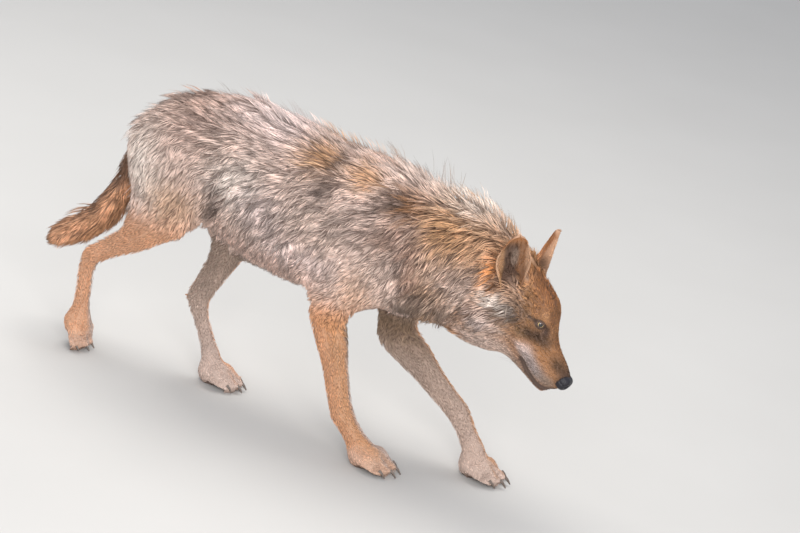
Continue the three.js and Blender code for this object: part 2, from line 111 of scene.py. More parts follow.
def ramp(x, low, high):
    """0 at low, 1 at high, with a smooth start and end. low may be above high."""
    t = np.clip((x - low) / (high - low), 0, 1)
    return t * t * (3 - 2 * t)

# %% Averages over neighbours
class Neighbours:
    """Averages a value over the points that share an edge with each point."""

    def __init__(self, mesh):
        edges = np.empty(len(mesh.edges) * 2, np.int64)
        mesh.edges.foreach_get("vertices", edges)
        a, b = edges.reshape(-1, 2).T
        self.to = np.concatenate([a, b])
        self.of = np.concatenate([b, a])
        self.count = np.bincount(self.to, minlength=len(mesh.vertices)).clip(1)

    def mean(self, value):
        columns = value.reshape(len(self.count), -1).T
        summed = [np.bincount(self.to, c[self.of], len(self.count)) / self.count for c in columns]
        return np.stack(summed, 1).reshape(value.shape)

    def smooth(self, value, times, amount=0.5):
        for _ in range(times):
            value = value + amount * (self.mean(value) - value)
        return value


solid_points = {name: points_of(obj.data) for name, obj in NODES.items()}
print("points in the solids:", sum(len(points) for points in solid_points.values()))

# %% [markdown]
# ## The head's own frame
#
# The head is turned and lowered, so its features are easier to name in a frame that turns with
# it: x runs forward along the muzzle with 0 at the tip of the nose, y to the wolf's left, z to
# the crown.

# %% Head frame
NOSE_TIP = Vector((0.580, -0.0349, 0.284))
HEAD_TURN = (
    Matrix.Rotation(math.radians(-4.4), 4, "Z")
    @ Matrix.Rotation(math.radians(37), 4, "Y")
    @ Matrix.Rotation(math.radians(-3), 4, "X")
)
HEAD_AXES = np.array(HEAD_TURN.to_3x3())


def to_head(points):
    """Row frame in metres to head frame in millimetres."""
    return (points - np.array(NOSE_TIP)) @ HEAD_AXES / MM


def from_head(points):
    return np.asarray(points) * MM @ HEAD_AXES.T + np.array(NOSE_TIP)


EYE_CENTRE = np.array([-125.5, 29.4, 35.4])
EYE_RADIUS = 10.8
for name in ("eye_left", "eye_right"):
    low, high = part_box(name)
    middle = np.array((low + high) / 2)
    print(name, "solid in the head frame:", to_head(middle[None])[0].round(1))

# %% [markdown]
# ## Which part of the body is a point on?
#
# The coat is long on the neck and short on the face, so every skin point has to know the piece of
# the solid that it came from. A search tree over all the solid's faces answers that.

# %% Region of each point
def tree_of(names):
    """One search tree over several solid pieces, and the piece each of its faces belongs to."""
    points, faces, owner = [], [], []
    for index, name in enumerate(names):
        mesh = NODES[name].data
        start = len(points)
        points.extend(v.co.copy() for v in mesh.vertices)
        for face in mesh.polygons:
            faces.append([start + i for i in face.vertices])
            owner.append(index)
    return BVHTree.FromPolygons(points, faces), np.array(owner)


solid_tree, solid_owner = tree_of(FLESH)


def region_of(points):
    """The index in FLESH of the piece nearest to each point."""
    return np.array([solid_owner[solid_tree.find_nearest(Vector(q))[2]] for q in points])


def on(region, *starts):
    """A mask of the points whose region's name starts with one of these words."""
    return np.isin(region, [i for i, n in enumerate(FLESH) if n.startswith(starts)])


print("solid faces in the search tree:", len(solid_owner))

# %% [markdown]
# ## One skin
#
# The solid is cut into named pieces. A living animal has no cuts, so the pieces are swelled by a
# hair, joined, and wrapped with one closed mesh by the Remesh modifier in voxel mode. That
# modifier forgets faces and keeps only shape, which is exactly what is wanted here. Then the
# facets are smoothed away. Trunk, neck, tail and upper legs are smoothed hardest, so that the
# ledges at the cuts go too, and the result is wrapped a second time to even out its faces.

# %% Wrap the pieces with one mesh
SWELL = 1.5 * MM
VOXEL = 6.2 * MM


def placed(name, data):
    """Puts a mesh, a light or a camera into the scene as an object."""
    obj = bpy.data.objects.new(name, data)
    bpy.context.scene.collection.objects.link(obj)
    return obj


def joined_pieces(names):
    bm = bmesh.new()
    for name in names:
        bm.from_mesh(NODES[name].data)
    mesh = bpy.data.meshes.new("skin")
    bm.to_mesh(mesh)
    bm.free()
    return placed("skin", mesh)


def apply_modifiers(obj):
    bpy.context.view_layer.update()
    done = obj.evaluated_get(bpy.context.evaluated_depsgraph_get())
    mesh = bpy.data.meshes.new_from_object(done)
    obj.modifiers.clear()
    obj.data = mesh


def wrapped(obj):
    wrap = obj.modifiers.new("wrap", "REMESH")
    wrap.mode = "VOXEL"
    wrap.voxel_size = VOXEL
    apply_modifiers(obj)


def taubin(mesh, times, mask=None):
    """Smooths out facets without shrinking the body."""
    web = Neighbours(mesh)
    p = points_of(mesh)
    for _ in range(times):
        q = web.smooth(web.smooth(p, 1, 0.6), 1, -0.58)
        p = q if mask is None else np.where(mask[:, None], q, p)
    set_points(mesh, p)


WRAPPED = [n for n in FLESH if not n.startswith("ear")] + ["eye_left", "eye_right", "nose"]
skin = joined_pieces(WRAPPED)
swell = skin.modifiers.new("swell", "DISPLACE")
swell.strength = SWELL
swell.mid_level = 0
wrapped(skin)
web = Neighbours(skin.data)
p = points_of(skin.data)
region = region_of(p)
thick = on(region, "trunk", "neck", "tail", "foreleg_left_upper", "foreleg_right_upper")
thick |= on(region, "hindleg_left_upper", "hindleg_right_upper")
amount = web.smooth(np.where(thick, 0.6, np.where(on(region, "head"), 0.1, 0.04)), 12)[:, None]
for _ in range(16):
    p = p + amount * (web.mean(p) - p)
set_points(skin.data, p)
wrapped(skin)
taubin(skin.data, 8)
print("skin faces after wrapping:", len(skin.data.polygons))

# %% [markdown]
# ## Finer mesh where the detail is
#
# A body needs few points, a face and toes need many. Faces are subdivided in three steps: the
# whole head and the feet, then the front of the face and the toes, then the rings around the
# eyes. The wrap has filled the clefts between the toes, so the fine points of the feet are laid
# back on the solid.

# %% Subdivide the head and the feet
HEAD_BACK, FACE_BACK = -215, -122  # mm, head frame
EYE_ZONE, LID_ZONE = 27, 20  # mm round the middle of an eye
FOOT_TOP, CLAW_ZONE = 0.075, 0.026


def refine(mesh, keep):
    """Splits every face whose points are all in the mask."""
    bm = bmesh.new()
    bm.from_mesh(mesh)
    edges = [e for e in bm.edges if keep[e.verts[0].index] and keep[e.verts[1].index]]
    bmesh.ops.subdivide_edges(bm, edges=edges, cuts=1, use_grid_fill=True)
    bm.to_mesh(mesh)
    bm.free()
    mesh.update()


def near_eyes(h, radius):
    away = [np.linalg.norm(h - EYE_CENTRE * (1, side, 1), axis=1) for side in (1, -1)]
    return np.minimum(*away) < radius


def in_head(h, back):
    return (h[:, 0] > back) & (np.abs(h[:, 1]) < 110) & (np.abs(h[:, 2]) < 110)


PAWS = tuple(n for n in FLESH if n.endswith("_paw"))
CLAWS = sorted(n for n in NODES if n.startswith("claw"))
claws = KDTree(len(CLAWS))
for i, name in enumerate(CLAWS):
    claws.insert(sum(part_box(name), Vector()) / 2, i)
claws.balance()


def near_claws(points, reach):
    return np.array([claws.find(Vector(q))[2] < reach for q in points])


for step in range(3):
    p = points_of(skin.data)
    head_points = to_head(p)
    if step == 0:
        keep = in_head(head_points, HEAD_BACK)
        keep |= on(region_of(p), *PAWS) & (p[:, 2] < FOOT_TOP)
    elif step == 1:
        keep = in_head(head_points, FACE_BACK) | near_eyes(head_points, EYE_ZONE)
        keep |= near_claws(p, CLAW_ZONE)
        taubin(skin.data, 4, in_head(head_points, HEAD_BACK))
    else:
        keep = near_eyes(head_points, LID_ZONE)
    refine(skin.data, keep)
    print("step", step, "faces:", len(skin.data.polygons))

# %% Lay the feet back on the solid
p = points_of(skin.data)
region = region_of(p)
web = Neighbours(skin.data)
foot = web.smooth((on(region, *PAWS) & (p[:, 2] < 0.07)) * 1.0, 5)
outward = web.smooth(normals_of(skin.data), 3)
for i in np.flatnonzero(foot > 0.01):
    start = Vector(p[i] - outward[i] * 4 * MM)
    place = solid_tree.ray_cast(start, Vector(outward[i]), 0.02)[0]
    place = place or solid_tree.find_nearest(start)[0]
    p[i] += (np.array(place) - p[i]) * foot[i]
set_points(skin.data, p)
taubin(skin.data, 3, foot > 0.01)
print("points of the feet:", int((foot > 0.01).sum()))

# %% [markdown]
# ## Ears
#
# An ear is a thin cupped leaf, open to the front. A voxel wrap would tear something this thin, so
# each ear is built from rings: every ring is a crescent with an outer and an inner line, narrower
# towards the tip. The two ears are turned differently, because the wolf listens to two sides.

# %% Ear shells
EAR_ROOTS = {1: np.array([-218.5, 61.5, 65.3]), -1: np.array([-232.8, -54.3, 57.5])}
EAR_HEIGHT, EAR_CUP, EAR_LEAN = 88.0, 27.7, 9.3
EAR_WIDTH = {1: 62.0, -1: 53.0}
EAR_WALL = 3.0
EAR_POSE = {1: (22.8, -10.7, 23.4), -1: (31.6, 28.7, 42.5)}
EAR_RINGS, EAR_STEPS = 32, 20
EAR_BURIED = -0.4


def ear_turn(side):
    back, out, turn = (math.radians(a) for a in EAR_POSE[side])
    return np.array(
        (
            Matrix.Rotation(-side * out, 3, "X")
            @ Matrix.Rotation(-back, 3, "Y")
            @ Matrix.Rotation(side * turn, 3, "Z")
        )
    )


def ear_point(side, t, around, lift):
    """A point of an ear: t from root to tip, around from -1 to 1 between the edges, lift off it."""
    belly = 0.9 + 0.25 * np.sin(np.pi * np.minimum(t * 1.4, 1))
    across = EAR_WIDTH[side] / 2 * (1 - np.maximum(t, 0) ** 4) ** 0.55 * belly + 1.5
    deep = EAR_CUP * (1 - 0.75 * t) + 1
    angle = around * math.pi / 2 * 0.98
    forward = -np.cos(angle) * (deep + lift) + deep * 0.45
    sideways = np.sin(angle) * (across + lift) - side * EAR_LEAN * t**2
    local = np.stack([forward, sideways, t * EAR_HEIGHT + 0 * forward], -1)
    return local @ ear_turn(side).T + EAR_ROOTS[side]


def ear_mesh(side):
    """Points in the head frame and faces of one closed ear shell."""
    around = np.linspace(-1, 1, EAR_STEPS + 1)
    ring = np.concatenate([around, around[::-1]])
    lift = np.concatenate([np.ones_like(around), -np.ones_like(around)]) * EAR_WALL / 2
    t = np.linspace(EAR_BURIED, 1, EAR_RINGS + 1)[:, None]
    wall = 1 - 0.45 * np.clip(t, 0, 1)
    edge = 1 - 0.35 * np.abs(ring) ** 6
    points = ear_point(side, t, ring[None] + 0 * t, lift * wall * edge)
    n = len(ring)
    faces = []
    for i in range(EAR_RINGS):
        for k in range(n):
            a, b = i * n + k, i * n + (k + 1) % n
            faces.append((a, a + n, b + n, b))
    for base in (0, EAR_RINGS * n):
        for k in range(EAR_STEPS):
            a, b = base + k, base + n - 1 - k
            faces.append((a, b, b - 1, a + 1) if base else (a, a + 1, b - 1, b))
    return points.reshape(-1, 3), faces


ear_parts = {side: ear_mesh(side) for side in (1, -1)}
print("ear points:", {side: len(part[0]) for side, part in ear_parts.items()})

# %% [markdown]
# ## How deep the coat is
#
# The solid's surface is where the tips of the hairs end. The skin lies deeper: more than two
# centimetres under a wolf's neck ruff, and only a few millimetres on its shins and muzzle. The
# skin is moved in over several small steps with a little smoothing between them, and never by
# more than a share of the body's thickness, so that it doesn't fold over itself in the armpits.

# %% Depth by body part
# mm, the same on both sides
DEPTH = {
    "trunk": 17,
    "neck": 22,
    "head": 9,
    "tail": 15,
    "foreleg_upper": 10,
    "hindleg_upper": 13,
    "foreleg_lower": 4.5,
    "hindleg_lower": 5.5,
}
SHORT_DEPTH = 1.3
THICKNESS_SHARE = 0.26


def depth_of(points, head, region):
    kinds = [n.replace("_left", "").replace("_right", "") for n in FLESH]
    depth = np.array([DEPTH.get(kind, SHORT_DEPTH) for kind in kinds])[region]
    tail_end = ramp(points[:, 0], -0.50, -0.57)
    depth = np.where(on(region, "tail"), depth * (1 - 0.6 * tail_end), depth)
    belly = ramp(points[:, 2], 0.36, 0.28)
    depth = np.where(on(region, "trunk"), depth - 7 * belly, depth)
    face = ramp(head[:, 0], -205, -120)
    cheek = ramp(np.abs(head[:, 1]), 38, 62) * ramp(head[:, 0], -120, -165)
    depth = np.where(on(region, "head"), 11 - 8.4 * face + 7 * cheek, depth)
    return depth * MM


def face_tree_of(points, mesh):
    """A search tree over the faces of a mesh, with its points at the given places."""
    faces = [tuple(f.vertices) for f in mesh.polygons]
    return BVHTree.FromPolygons([Vector(q) for q in points], faces)


def thickness_of(mesh):
    """How far it is from each point straight through the body to the skin on the other side."""
    tree = face_tree_of(points_of(mesh), mesh)
    found = []
    for point, normal in zip(points_of(mesh), normals_of(mesh)):
        hit = tree.ray_cast(Vector(point - normal * 0.002), Vector(-normal), 0.2)
        found.append(0.2 if hit[3] is None else hit[3] + 0.002)
    return np.array(found)


print("coat depth, mm:", DEPTH)

# %% Sink the skin under the coat
FLOOR_GAP = 0.3 * MM
STEPS = 6

p = points_of(skin.data)
head_points = to_head(p)
depth = np.minimum(depth_of(p, head_points, region), THICKNESS_SHARE * thickness_of(skin.data))
for _ in range(3):
    depth = np.minimum(depth, web.smooth(depth, 2))
depth = web.smooth(depth, 24)
sole = ramp(-normals_of(skin.data)[:, 2], 0.4, 0.9) * foot
toe_end = np.zeros(len(p))
for i in np.flatnonzero(foot > 0.01):
    toe_end[i] = ramp(np.array(claws.find(Vector(p[i]))[2]), 0.016, 0.010)
inward = depth * (1 - sole) * (1 - 0.9 * toe_end) + SWELL * (1 - foot)
relax = (np.where(in_head(head_points, -200), 0.12, 0.5) * (1 - 0.95 * foot))[:, None]
for _ in range(STEPS):
    p = p - normals_of(skin.data) * (inward / STEPS)[:, None]
    p = p + relax * (web.mean(p) - p)
    p[:, 2] = np.maximum(p[:, 2], FLOOR_GAP)
    set_points(skin.data, p)
print("coat depth, shallow to deep, mm:", (depth.min() / MM).round(1), (depth.max() / MM).round(1))

# %% [markdown]
# ## Toes over the roots of the claws
#
# A claw grows out of its toe, so the skin must close round its root. Sinking the skin left the
# blunt roots outside. Each toe is drawn forward along its own claw and swollen a little, most at
# the root and fading out round it.

# %% Draw the toes over the claws
TOE_PUSH, TOE_SWELL, TOE_ROUND = 5.0, 3.6, 7.5  # mm, forward, outward and how widely


def claw_line(name):
    """The root of a claw and the direction it points in."""
    claw = NODES[name]
    body = np.array([claw.matrix_world @ v.co for v in claw.data.vertices])
    middle = body.mean(0)
    axis = np.linalg.svd(body - middle, full_matrices=False)[2][0]
    paw = np.array(sum(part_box(name[5:-2] + "_paw"), Vector()) / 2)
    axis *= np.sign(axis @ (middle - paw))
    return middle + axis * ((body - middle) @ axis).min(), axis


toes = on(region, *PAWS)
before, facing = p.copy(), normals_of(skin.data)
for name in CLAWS:
    root, axis = claw_line(name)
    near = np.exp(-((np.linalg.norm(before - root, axis=1) / (TOE_ROUND * MM)) ** 2)) * toes
    outward = unit((near[:, None] * facing).sum(0))
    p += near[:, None] * (axis * TOE_PUSH + outward * TOE_SWELL) * MM
p[:, 2] = np.maximum(p[:, 2], FLOOR_GAP)
print("toes moved by up to, mm:", (np.linalg.norm(p - before, axis=1).max() / MM).round(1))

# %% [markdown]
# ## Eyelids
#
# Around each eye the skin is bent onto a shell that just clears the eyeball. Every point near the
# eye gets two angles, one along the slit and one across it. Points inside the almond-shaped
# opening go under the ball, points outside it form the lids and run out into the face.

# %% The opening of an eye
GAZE = np.array([0.40, 0.86, 0.26])
SLIT = np.array([0.84, -0.50, 0.12])
SLIT_HALF, UPPER_LID, LOWER_LID = 64, 15, 24
LID_SHELL, LID_REACH, UNDER_BALL = 12.4, 11.0, 9.0
FAR = 99.0  # mm from the lids or the mouth, for points that are not near them


def eye_axes(side):
    gaze = unit(GAZE * (1, side, 1))
    slit = SLIT * (1, side, 1)
    slit = unit(slit - gaze * (slit @ gaze))
    up = np.cross(gaze, slit)
    return gaze, slit, up * np.sign(up[2])


def lid_distance(points, side):
    """Distance in mm outwards from the edge of the opening, negative inside it, and the radius."""
    gaze, slit, up = eye_axes(side)
    offset = points - EYE_CENTRE * (1, side, 1)
    radius = np.linalg.norm(offset, axis=1)
    front = offset @ gaze
    along = np.degrees(np.arctan2(offset @ slit, np.maximum(front, 1e-3)))
    across = np.degrees(np.arctan2(offset @ up, np.maximum(front, 1e-3)))
    arch = np.clip(1 - (along / SLIT_HALF) ** 2, 0, 1)
    inner = np.maximum(across - UPPER_LID * arch**0.8, -across - LOWER_LID * arch)
    outer = np.hypot(np.abs(along) - SLIT_HALF, across)
    angle = np.where(np.abs(along) < SLIT_HALF, inner, outer)
    return np.radians(angle) * LID_SHELL, radius, front


print("line of sight, left eye:", eye_axes(1)[0].round(2))

# %% Bend the skin round the eyes
rim_distance = np.full(len(p), FAR)
head_points = to_head(p)
for side in (1, -1):
    away, radius, front = lid_distance(head_points, side)
    near = (radius < 30) & (front > 2)
    rim_distance = np.where(near, np.minimum(rim_distance, away), rim_distance)
    centre = EYE_CENTRE * (1, side, 1)
    shell = LID_SHELL + (radius - LID_SHELL) * ramp(away, 0.6, LID_REACH)
    shell = np.maximum(shell, LID_SHELL)
    wanted = UNDER_BALL + (shell - UNDER_BALL) * ramp(away, -1.1, 0.1)
    share = (ramp(front, 2, 6) * ramp(radius, 30, 23))[:, None]
    bent = centre + (head_points - centre) * (wanted / radius)[:, None]
    head_points = np.where(near[:, None], head_points + (bent - head_points) * share, head_points)
print("points on the lids:", int((np.abs(rim_distance) < 3).sum()))

# %% [markdown]
# ## Mouth, brow and furrow
#
# The mouth is a groove that runs from the corner, well back under the eye, to the front under the
# nose. The upper lip overlaps it a little. A bony brow shades each eye, and a shallow furrow runs
# up the middle of the forehead. The head is also hollowed a little under each ear, so that the
# bottom of the ear's cup is skin and not a bulge.

# %% Shape mouth and brow
MOUTH = np.array(
    [(-90, 29, -45), (-64, 27, -56), (-41, 23, -57), (-25, 17, -52), (-13, 10, -44), (-8, 0, -35)]
)
JAW_PLACES = [-130, -87, -65, -40, -23, -8, 5, 14]
JAW_DROP = [0, 4, 7, 11, 14, 11, 4, 0]
GROOVE_DEEP, GROOVE_WIDE, LIP_FULL, LIP_ABOVE, LIP_WIDE = 3.8, 2.6, 2.2, 4, 2.6
FURROW_DEEP, FURROW_WIDE, LID_CLEAR = 1.1, 7, 2
# head frame, mm: (x, |y|, z), radius, outward
BUMPS = [
    ((-140, 44, 56), 11, 2.2),
    ((-152, 54, 20), 16, 2.0),
    ((-110, 27, 27), 10, 2.0),
    ((-45, 20, -14), 15, 1.6),
    ((-60, 16, 12), 16, -0.8),
    ((-196, 12, 76), 34, 6.0),
]


def on_path(points, path):
    """The piece of a path nearest to each point, the share along it, and the offset from there."""
    start, step = path[:-1], np.diff(path, axis=0)
    offset = points[:, None] - start[None]
    t = np.clip((offset * step).sum(-1) / (step**2).sum(-1), 0, 1)
    offset = offset - t[..., None] * step
    piece = np.linalg.norm(offset, axis=-1).argmin(1)
    row = np.arange(len(points))
    return piece, t[row, piece], offset[row, piece]


def folded(points):
    """The points with the right side folded onto the left, as both sides are shaped alike."""
    return points * (1, 0, 1) + np.abs(points) * (0, 1, 0)


low = ramp(head_points[:, 2], -4, -28) * ramp(np.abs(head_points[:, 1]), 50, 34)
low *= ramp(head_points[:, 2], -150, -110)
head_points[:, 2] -= np.interp(head_points[:, 0], JAW_PLACES, JAW_DROP) * low
set_points(skin.data, from_head(head_points))
out = normals_of(skin.data) @ HEAD_AXES
mirrored = folded(head_points)
face_tree = face_tree_of(head_points, skin.data)
right_side = np.array([1, -1, 1])
mouth_path = [face_tree.find_nearest(Vector(q))[0] for q in MOUTH * right_side] * right_side
piece, share, offset = on_path(mirrored, mouth_path)
away, along = np.linalg.norm(offset, axis=1), (piece + share) / (len(mouth_path) - 1)
groove = np.exp(-((away / GROOVE_WIDE) ** 2)) * ramp(along, 0.0, 0.1)
lip = np.exp(-(((away - LIP_ABOVE) / LIP_WIDE) ** 2)) * (offset[:, 2] > 0) * ramp(along, 0.02, 0.3)
move = LIP_FULL * lip - GROOVE_DEEP * groove
for place, radius, outward in BUMPS:
    beside = np.linalg.norm(mirrored - np.array(place), axis=1)
    move += outward * np.exp(-((beside / radius) ** 2)) * (rim_distance > LID_CLEAR)
furrow = np.exp(-((head_points[:, 1] / FURROW_WIDE) ** 2)) * ramp(head_points[:, 0], -205, -175)
furrow *= ramp(head_points[:, 0], -100, -130) * (head_points[:, 2] > 20)
move -= FURROW_DEEP * furrow
head_points = head_points + out * move[:, None]
print("deepest and highest change, mm:", move.min().round(2), move.max().round(2))

# %% Hollow the head under the ears
EAR_FLOOR = -6.0

# where the bottom of each ear's cup meets the head, later painted as shade
ear_floor_shade = np.zeros(len(p))
for side in (1, -1):
    turn = ear_turn(side)
    local = (head_points - EAR_ROOTS[side]) @ turn
    inside = ramp(np.hypot((local[:, 0] + 1) / 15, local[:, 1] / 25), 1.1, 0.75)
    inside *= ramp(local[:, 2], -45, -20)
    sink = np.maximum(local[:, 2] - EAR_FLOOR, 0) * inside
    head_points = head_points - sink[:, None] * turn[:, 2]
    ear_floor_shade = np.maximum(ear_floor_shade, inside * ramp(local[:, 2], 80, 50))
mouth_away = np.where(in_head(head_points, -110), away, FAR)
p = from_head(head_points)
set_points(skin.data, p)
print("points in the hollows:", int((ear_floor_shade > 0).sum()))

# %% [markdown]
# ## Skin and ears become one object
#
# The ear shells stand in the head skin, with their roots buried. They are put into the same mesh,
# so that the coat can be grown from one object. From here on, `p` holds every skin point, and
# each point also has a region, a coat depth and a place in the head's frame.

# %% Join the ears to the skin
EARS = {1: FLESH.index("ear_left"), -1: FLESH.index("ear_right")}
EAR_DEPTH = 1.2 * MM
all_points, all_faces = [points_of(skin.data)], [tuple(f.vertices) for f in skin.data.polygons]
total = len(all_points[0])
for side, index in EARS.items():
    ear_points, ear_faces = ear_parts[side]
    all_points.append(from_head(ear_points))
    all_faces += [tuple(i + total for i in face) for face in ear_faces]
    more = len(ear_points)
    region = np.append(region, np.full(more, index))
    depth = np.append(depth, np.full(more, EAR_DEPTH))
    rim_distance = np.append(rim_distance, np.full(more, FAR))
    mouth_away = np.append(mouth_away, np.full(more, FAR))
    ear_floor_shade = np.append(ear_floor_shade, np.zeros(more))
    total += more
body = bpy.data.meshes.new("skin")
body.from_pydata(np.concatenate(all_points).tolist(), [], all_faces)
body.validate()
skin.data = body
p = points_of(body)
normals = normals_of(body)
head_points = to_head(p)
web = Neighbours(body)
print("skin points with ears:", len(p), "triangles:", sum(len(f) - 2 for f in all_faces))

# %% [markdown]
# ## Length, width and lie of the coat
#
# A wolf's hair lies back along the body, down the legs and back over the face. For legs and tail
# the lie follows the bones, given here as paths in side view. Every value is set piece by piece
# first and then spread between neighbouring points, so no border shows. Two fields are added: the
# mane over the neck and withers stands up more than the rest, and a tuft fills the mouth of each
# ear.

# %% Paths and hair sizes
# side view in mm, from the top of the leg or tail to its end: (forward, up)
LEG_PATHS = {
    "foreleg_right": [(209, 434), (84, 273), (164, 85), (225, 26), (270, 12)],
    "foreleg_left": [(209, 425), (177, 224), (348, 112), (402, 46), (450, 14)],
    "hindleg_right": [(-353, 536), (-271, 332), (-443, 187), (-439, 66), (-424, 12)],
    "hindleg_left": [(-315, 512), (-159, 356), (-225, 141), (-165, 36), (-120, 12)],
}
TAIL_PATH = [
    (-384, 486), (-398, 420), (-412, 345), (-444, 276), (-494, 222), (-542, 188), (-572, 170)
]
# mm: length of the locks, width of one lock
HAIR = {
    "trunk": (38, 2.2),
    "neck": (42, 2.4),
    "tail": (58, 2.5),
    "upper": (34, 2.0),
    "lower": (12, 1.5),
    "paw": (10, 1.4),
    "ear": (7, 1.1),
    "head": (10, 1.2),
}
# how steeply the coat falls for each step back, by height in metres
TRUNK_FALL = ([0.32, 0.36, 0.42, 0.46, 0.52, 0.56], [-2.5, -2.3, -1.6, -1.2, -0.5, 0.0])
NECK_FALL = ([0.40, 0.45, 0.50, 0.56], [-1.5, -1.8, -1.3, 0.0])
print("leg paths:", list(LEG_PATHS))

# %% Fields of length, width and lie
def path_direction(points, path):
    """The direction, in side view, of the part of a path that is nearest to each point."""
    path = np.array(path) * MM
    nearest = unit(np.diff(path, axis=0))[on_path(points[:, [0, 2]], path)[0]]
    return np.stack([nearest[:, 0], np.zeros(len(points)), nearest[:, 1]], 1)


def coat_fields(points, head, region):
    length, width = np.zeros(len(points)), np.zeros(len(points))
    for index, name in enumerate(FLESH):
        kind = next(k for k in HAIR if k in name)
        mask = region == index
        length[mask], width[mask] = HAIR[kind]
    top = ramp(points[:, 2], 0.50, 0.57)
    belly = ramp(points[:, 2], 0.36, 0.29)
    trunk, neck, face = (on(region, n) for n in ("trunk", "neck", "head"))
    length[trunk] += (12 * top - 16 * belly)[trunk]
    length[neck] += (12 * ramp(points[:, 2], 0.50, 0.56) + 8 * ramp(points[:, 2], 0.43, 0.38))[neck]
    uppers = on(region, *[leg + "_upper" for leg in LEG_PATHS])
    length[uppers] -= 16 * ramp(points[uppers, 2], 0.36, 0.28)
    thigh_back = on(region, "hindleg") & (points[:, 0] < -0.33) & (points[:, 2] > 0.3)
    length[thigh_back] += 10
    cheek = ramp(np.abs(head[:, 1]), 40, 66) * ramp(head[:, 0], -125, -175)
    along = [-260, -205, -140, -90, -40, 0]
    length[face] = (np.interp(head[:, 0], along, [34, 17, 8, 5.5, 4, 3]) + 20 * cheek)[face]
    width[face] = (np.interp(head[:, 0], along, [2.6, 1.8, 1.2, 1, 0.85, 0.8]) + 0.8 * cheek)[face]

    flow = np.tile([-1.0, 0.0, -0.15], (len(points), 1))
    flow[trunk, 2] = np.interp(points[trunk, 2], *TRUNK_FALL)
    flow[neck, 2] = np.interp(points[neck, 2], *NECK_FALL)
    for leg, path in LEG_PATHS.items():
        mask = on(region, leg)
        flow[mask] = path_direction(points[mask], path)
    thigh = on(region, "hindleg_left_upper", "hindleg_right_upper")
    flow[thigh] = (-0.4, 0, -1)
    mask = on(region, "tail")
    flow[mask] = path_direction(points[mask], TAIL_PATH)
    backward = np.tile([-1.0, 0.0, 0.1], (len(points), 1))
    outwards = np.sign(head[:, 1]) * ramp(np.abs(head[:, 1]), 4, 30)
    backward[:, 1] = outwards * (0.12 + 0.35 * cheek)
    backward[:, 2] -= 2.4 * cheek + 0.3 * ramp(head[:, 2], 0, -40)
    flow[face] = (backward @ HEAD_AXES.T)[face]
    for side, index in EARS.items():
        flow[region == index] = HEAD_AXES @ ear_turn(side)[:, 2]
    length += 15 * ear_tuft - 3.5 * ear_tip
    return length * MM, width * MM, flow

# %% Inside of the ears
def ear_places(side, index):
    """Inside of an ear (0 to 1), and the place across it (towards the crown) and up it, in mm."""
    local = (head_points - EAR_ROOTS[side]) @ ear_turn(side)
    inner = ramp((normals @ HEAD_AXES @ ear_turn(side))[:, 0], -0.1, 0.2) * (region == index)
    return inner, -side * local[:, 1], local[:, 2]


ear_tuft, ear_tip = np.zeros(len(p)), np.zeros(len(p))
for side, index in EARS.items():
    inner, across, up_ear = ear_places(side, index)
    ear_tuft += inner * ramp(up_ear, 58, 34) * ramp(np.abs(across - 4), 16, 7)
    ear_tip += (region == index) * ramp(up_ear, 60, 82)
depth = depth + 5 * MM * ear_tuft
print("points in the tufts:", int((ear_tuft > 0.5).sum()))

# %% Spread the fields over the skin
SPREAD = 36
BARE_LID, BARE_LIP, BARE_TIP = 2.4, 5.6, 0.97  # mm from the lids and the mouth, share up the ear
CREST = [
    # place in metres, radii, how much further than usual the hair stands up
    ((0.33, 0, 0.57), (0.14, 0.07, 0.09), 1.0),
    ((0.13, 0, 0.60), (0.07, 0.07, 0.07), 0.4),
    ((-0.27, 0, 0.62), (0.08, 0.07, 0.06), 0.35),
    ((-0.10, 0, 0.62), (0.10, 0.06, 0.06), 0.25),
]
erect = np.ones(len(p))
for place, radii, more in CREST:
    away = ((p - np.array(place)) / np.array(radii)) ** 2
    erect += more * np.exp(-(away.sum(1))) * ramp(normals[:, 2], -0.1, 0.5)
length, width, flow = coat_fields(p, head_points, region)
length = web.smooth(length, SPREAD)
width = web.smooth(width, SPREAD)
near_edge = np.minimum(ramp(rim_distance, 0, 16), ramp(mouth_away, 0, 12))
length = length * (0.28 + 0.72 * near_edge)
bare = (rim_distance < BARE_LID) | (mouth_away < BARE_LIP) | (ear_tip > BARE_TIP)
bare |= on(region, *PAWS) & (normals[:, 2] < -0.6) & (p[:, 2] < 0.02)
flow = web.smooth(flow, SPREAD)
flow = unit(flow - normals * (flow * normals).sum(1)[:, None])
print("hair length, mm:", (length.min() / MM).round(1), "to", (length.max() / MM).round(1))
